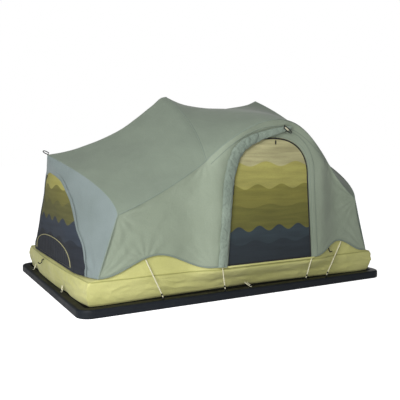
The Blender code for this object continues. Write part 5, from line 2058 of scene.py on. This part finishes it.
@dataclass
class Mattress:
    """Foam mattress in a knitted cover, with sewn channels across it."""

    channels: int = 9
    cuts: int = 47
    inset: float = 0.003
    crown: float = 0.012
    # Share of its half size over which the top falls to its edges, and share of its crown that is
    # left where it is sewn down
    edge: Pair = (0.12, 0.35)
    # How wide a sewn channel is: lower is narrower
    sew_power: float = 0.4
    # How much the corners are rounded off, and the place where that starts
    corner: Pair = (0.05, 0.86)
    bulge: float = 0.004

    def build(self) -> None:
        """Make the cover: a fine box, drawn in at its sides and sewn down in channels."""
        low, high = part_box("mattress")
        centre = (low + high) / 2
        half_x, half_y = (high.x - low.x) / 2 - self.inset, (high.y - low.y) / 2 - self.inset
        (fall, least), (rounding, start) = self.edge, self.corner
        select_only(None)
        bpy.ops.mesh.primitive_cube_add(size=2.0, location=(0, 0, 0))
        piece = bpy.context.object
        piece.name = "mattress_cover"
        bpy.ops.object.mode_set(mode="EDIT")
        bpy.ops.mesh.select_all(action="SELECT")
        bpy.ops.mesh.subdivide(number_cuts=self.cuts)
        bpy.ops.object.mode_set(mode="OBJECT")
        for vertex in piece.data.vertices:
            u, v, w = vertex.co
            edge = smooth_step((1 - max(abs(u), abs(v))) / fall) if abs(w) > 0.999 else 0.0
            sew = abs(math.sin(math.pi * self.channels * (u + 1) / 2)) ** self.sew_power
            top = high.z - self.crown + self.crown * edge * (least + (1 - least) * sew)
            round_off = 1 - rounding * smooth_step((abs(u) * abs(v) - start) / (1 - start))
            bulge = 1 - self.bulge * abs(w) ** 4
            vertex.co = (centre.x + u * half_x * round_off * bulge,
                         centre.y + v * half_y * round_off * bulge,
                         low.z if w < -0.999 else low.z + (top - low.z) * (w + 1) / 2)
        shade(piece)
        fit(piece, COVER, TENT, "mattress")


@dataclass
class Rigging:
    """Guy cords, their hooks and slides, the elastic loops and the loops on the end peaks."""

    lines: CanopyLines
    # Guy cords: name, x of the head and x of the foot
    cords: tuple[tuple[str, float, float], ...] = (
        ("outer_left", -0.700, -0.606), ("door_left", -0.222, -0.192), ("door_right", 0.462, 0.430),
        ("outer_right", 0.752, 0.606))
    radius: float = 0.0035
    rail_y: float = -0.728
    hook_level: float = 0.0565
    hook_radius: float = 0.0066
    hook_thick: float = 0.0016
    # How far a hook bends to each side, how far its ends run on, and its steps
    hook_bend: float = 130
    hook_end: float = 0.006
    hook_steps: int = 14
    # Places along a cord's slide, from the cord's foot, and its radius
    slide: tuple[float, ...] = (0.010, 0.012, 0.020, 0.022)
    slide_radius: float = 0.0046
    peak_radius: float = 0.0030
    elastic: float = 0.0024
    elastic_level: float = 0.0545
    elastic_reach: float = 0.00570
    # Elastic loops: name, the wall's point, the stud's distance from it and the direction out
    elastics: tuple[tuple[str, Point, float, Point], ...] = (
        ("left_front", (-1.0486, -0.290, 0.0), 0.0214, (-1.0, 0.0, 0.0)),
        ("left_rear", (-1.0381, 0.450, 0.0), 0.0319, (-1.0, 0.0, 0.0)),
        ("near", (0.0, -0.651, 0.0), 0.069, (0.0, -1.0, 0.0)))

    def guy(self, name: str, top_x: float, low_x: float) -> None:
        """Stretch one guy cord from the hem to its stud, with a hook at its foot.

        Args:
            name: Name of the cord.
            top_x: X of its upper end.
            low_x: X of its lower end.
        """
        low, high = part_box(f"guy_cord_{name}")
        head = Vector((top_x, -self.lines.wall_foot_y(top_x) - 0.001, high.z - self.radius * 0.3))
        foot = Vector((low_x, self.rail_y, low.z + self.radius * 0.5))
        route = [head.lerp(foot, i / 16) for i in range(17)]
        self.cord(f"guy_line_{name}", f"guy_cord_{name}", route, self.radius, CORD)
        self.hook(f"guy_{name}", Vector((low_x, self.rail_y, 0.0)),
                  Vector((-1 if low_x > top_x else 1, 0, 0)))
        way = (head - foot).normalized()
        slide = [foot + way * d for d in self.slide]
        fit(tube(f"cord_slide_{name}", slide, self.slide_radius), PLASTIC, TENT)

    def hook(self, name: str, stud: Vector, way: Vector) -> None:
        """Bend a moulded hook round a stud.

        Args:
            name: The last part of its name.
            stud: The stud's place, at a height of 0.
            way: Direction from the stud to the middle of the hook's bend.
        """
        over = Vector((-way.y, way.x, 0))
        route = []
        for i in range(self.hook_steps + 1):
            angle = math.radians(-self.hook_bend + 2 * self.hook_bend * i / self.hook_steps)
            route.append(stud + way * (self.hook_radius * math.cos(angle))
                         + over * (self.hook_radius * math.sin(angle)) + UP * self.hook_level)
        route = [route[0] - way * self.hook_end, *route, route[-1] - way * self.hook_end]
        fit(tube(f"hook_{name}", route, self.hook_thick), PLASTIC, TENT)

    def elastic_route(self, wall: Vector, stud: float, way: Vector) -> list[Vector]:
        """Return the points of an elastic loop, from the tub's wall round a stud and back.

        Args:
            wall: The point of the wall that it leaves.
            stud: Distance from there to the stud.
            way: Direction from the wall to the stud.

        Returns:
            The points.
        """
        over, reach = Vector((-way.y, way.x, 0.0)), self.elastic_reach
        rise = min(1.0, 0.030 / stud)
        half = [Vector((0.0150, -reach * 1.3, 0.036 * rise)),
                Vector((0.0185, -reach * 1.3, 0.022 * rise)),
                Vector((max(stud * 0.85, 0.0185), -reach * 1.1, 0.004 * rise))]
        turn = []
        for i in range(13):
            angle = math.pi * (i / 12 - 0.5)
            turn.append(Vector((stud + reach * math.cos(angle), reach * math.sin(angle), 0.0)))
        shape = half + turn + [Vector((p.x, -p.y, p.z)) for p in reversed(half)]
        return [wall + way * p.x + over * p.y + UP * p.z + UP * self.elastic_level for p in shape]

    def peak_route(self, end: End) -> list[Vector]:
        """Return the points of the oblong loop on an end's peak.

        Args:
            end: The end.

        Returns:
            The points.
        """
        middle = Vector((end.value * 1.072, 0.0, 0.8830))
        long = Vector((0.0185 * end.value, 0.0, 0.0090))
        short = Vector((-0.0030 * end.value, 0.0, 0.0062))
        angles = [math.radians(-155 + 310 * i / 24) for i in range(25)]
        return [middle + long * math.cos(angle) + short * math.sin(angle) for angle in angles]

    def cord(self, name: str, node: str, route: list[Vector], radius: float, finish: Surface,
             slot: str | None = None) -> None:
        """Args:
            name: Its name.
            node: Its solid.
            route: The points it follows.
            radius: Its radius.
            finish: Its finish.
            slot: Its slot, where that isn't the finish's own.
        """
        piece = fit(line(name, route, radius), finish, TENT, node, slot=slot)
        tuple(route[0])
        round(length_of(route), 4)
        LOG.info("%s: %.3f m long", name, length_of(route))

    def build(self) -> None:
        """Make all of the rigging."""
        for name, top_x, low_x in self.cords:
            self.guy(name, top_x, low_x)
        for name, wall, stud, way in self.elastics:
            wall, way = Vector(wall), Vector(way)
            self.cord(f"elastic_{name}", f"elastic_loop_{name}",
                      self.elastic_route(wall, stud, way), self.elastic, CORD)
            self.hook(f"elastic_{name}", wall + way * stud, way)
        for end in End:
            self.cord(f"peak_cord_{end.label}", f"peak_loop_{end.label}", self.peak_route(end),
                      self.peak_radius, PLASTIC, "end_cloth")


# Rails, corner castings, deck, channels, poles, hubs and clips stay the solids that they are. They
# are told by the first word of their names.
RIGID_FINISHES = {"rail": EXTRUSION, "corner": EXTRUSION, "mounting": EXTRUSION, "base": DECK,
                  "brow": POLE, "leg": POLE, "end": POLE, "main": POLE, "hub": PLASTIC,
                  "clip": PLASTIC}


def dress_solids() -> None:
    """Dress every rigid solid."""
    for name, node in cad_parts.items():
        finish = RIGID_FINISHES.get(name.split("_")[0])
        if finish and not node.hide_render:
            dress(node, finish)
    LOG.info("base and poles dressed")


@dataclass
class Studio:
    """Pale floor, soft lamps and the camera."""

    location: Point = (-1.956, -3.622, 0.894)
    turn: Point = (85.061, 0.0, -28.793)
    lens: float = 51.23
    # Lamps: name, place, size and power
    lamps: tuple[tuple[str, Point, float, float], ...] = (
        ("key_lamp", (-2.95, -3.15, 1.8), 2.0, 155.0), ("top_lamp", (-1.0, 0.2, 4.5), 3.5, 24.0),
        ("fill_lamp", (3.2, 2.6, 2.2), 3.0, 30.0))
    aim: Point = (0.0, 0.0, 0.5)
    # Glow of the sky and of the paper, in the light that they give and as the eye sees them
    sky_glow: Pair = (0.19, 1.0)
    floor_glow: Pair = (0.11, 0.87)

    def camera(self) -> None:
        """Place the camera at the photograph's angle."""
        data = bpy.data.cameras.new("camera")
        data.lens = self.lens
        data.sensor_width = 36.0
        eye = linked("camera", data)
        eye.location = self.location
        eye.rotation_euler = [math.radians(a) for a in self.turn]
        bpy.context.scene.camera = eye

    def lamp(self, name: str, place: Point, size: float, power: float) -> None:
        """Hang a square soft lamp that looks at the tent.

        Args:
            name: Its name.
            place: Its place.
            size: Its width.
            power: Its power, in watts.
        """
        data = bpy.data.lights.new(name, "AREA")
        data.shape = "SQUARE"
        data.size = size
        data.energy = power
        lamp = linked(name, data)
        lamp.location = place
        lamp.rotation_euler = (Vector(self.aim) - Vector(place)).to_track_quat("-Z", "Y").to_euler()

    def glow(self, tree: Tree, given: float, seen: float) -> Socket:
        """Return one glow for rays from the eye, also through the nets, and one for the others.

        Args:
            tree: The node tree.
            given: The glow in the light that it gives.
            seen: The glow as the eye sees it.

        Returns:
            The glow.
        """
        ray = add_node(tree, "LightPath")
        eye = add_node(tree, "Math", {0: ray["Is Camera Ray"], 1: ray["Is Transmission Ray"]},
                       operation="MAXIMUM")
        return add_node(tree, "MapRange", {0: eye[0], 1: 0.0, 2: 1.0, 3: given, 4: seen})[0]

    def floor(self) -> None:
        """Lay the pale floor."""
        select_only(None)
        bpy.ops.mesh.primitive_circle_add(vertices=64, radius=30.0, fill_type="NGON")
        floor = bpy.context.object
        floor.name = "studio_floor"
        paper = bpy.data.materials.new("studio_paper")
        paper.use_nodes = True
        tree = paper.node_tree
        feed(tree, tree.nodes["Principled BSDF"],
             {"Base Color": (0.80, 0.80, 0.80, 1.0), "Roughness": 1.0, "Emission Color": WHITE,
              "Emission Strength": self.glow(tree, *self.floor_glow)})
        floor.data.materials.append(paper)

    def world(self) -> None:
        """Light from all round, with a white background."""
        world = bpy.data.worlds.new("studio")
        bpy.context.scene.world = world
        world.use_nodes = True
        tree = world.node_tree
        tree.nodes.clear()
        glow = self.glow(tree, *self.sky_glow)
        sky = add_node(tree, "Background", {"Color": WHITE, "Strength": glow})
        add_node(tree, "OutputWorld", {"Surface": sky[0]})

    def build(self) -> None:
        """Set up the studio."""
        bpy.context.scene.view_settings.view_transform = "Standard"
        self.camera()
        for lamp in self.lamps:
            self.lamp(*lamp)
        self.world()
        self.floor()


def main() -> None:
    """Build the tent in order."""
    logging.basicConfig(level=logging.INFO, format="%(message)s")
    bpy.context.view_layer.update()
    Studio().build()
    lines = CanopyLines()
    Rigging(lines).build()
    Canopy(lines).build()
    for side in Side:
        DoorSet(lines, side).build()
    for end in End:
        EndWindow(lines, end).build()
    FloorTub(lines).build()
    Mattress().build()
    dress_solids()


if __name__ == "__main__":
    main()
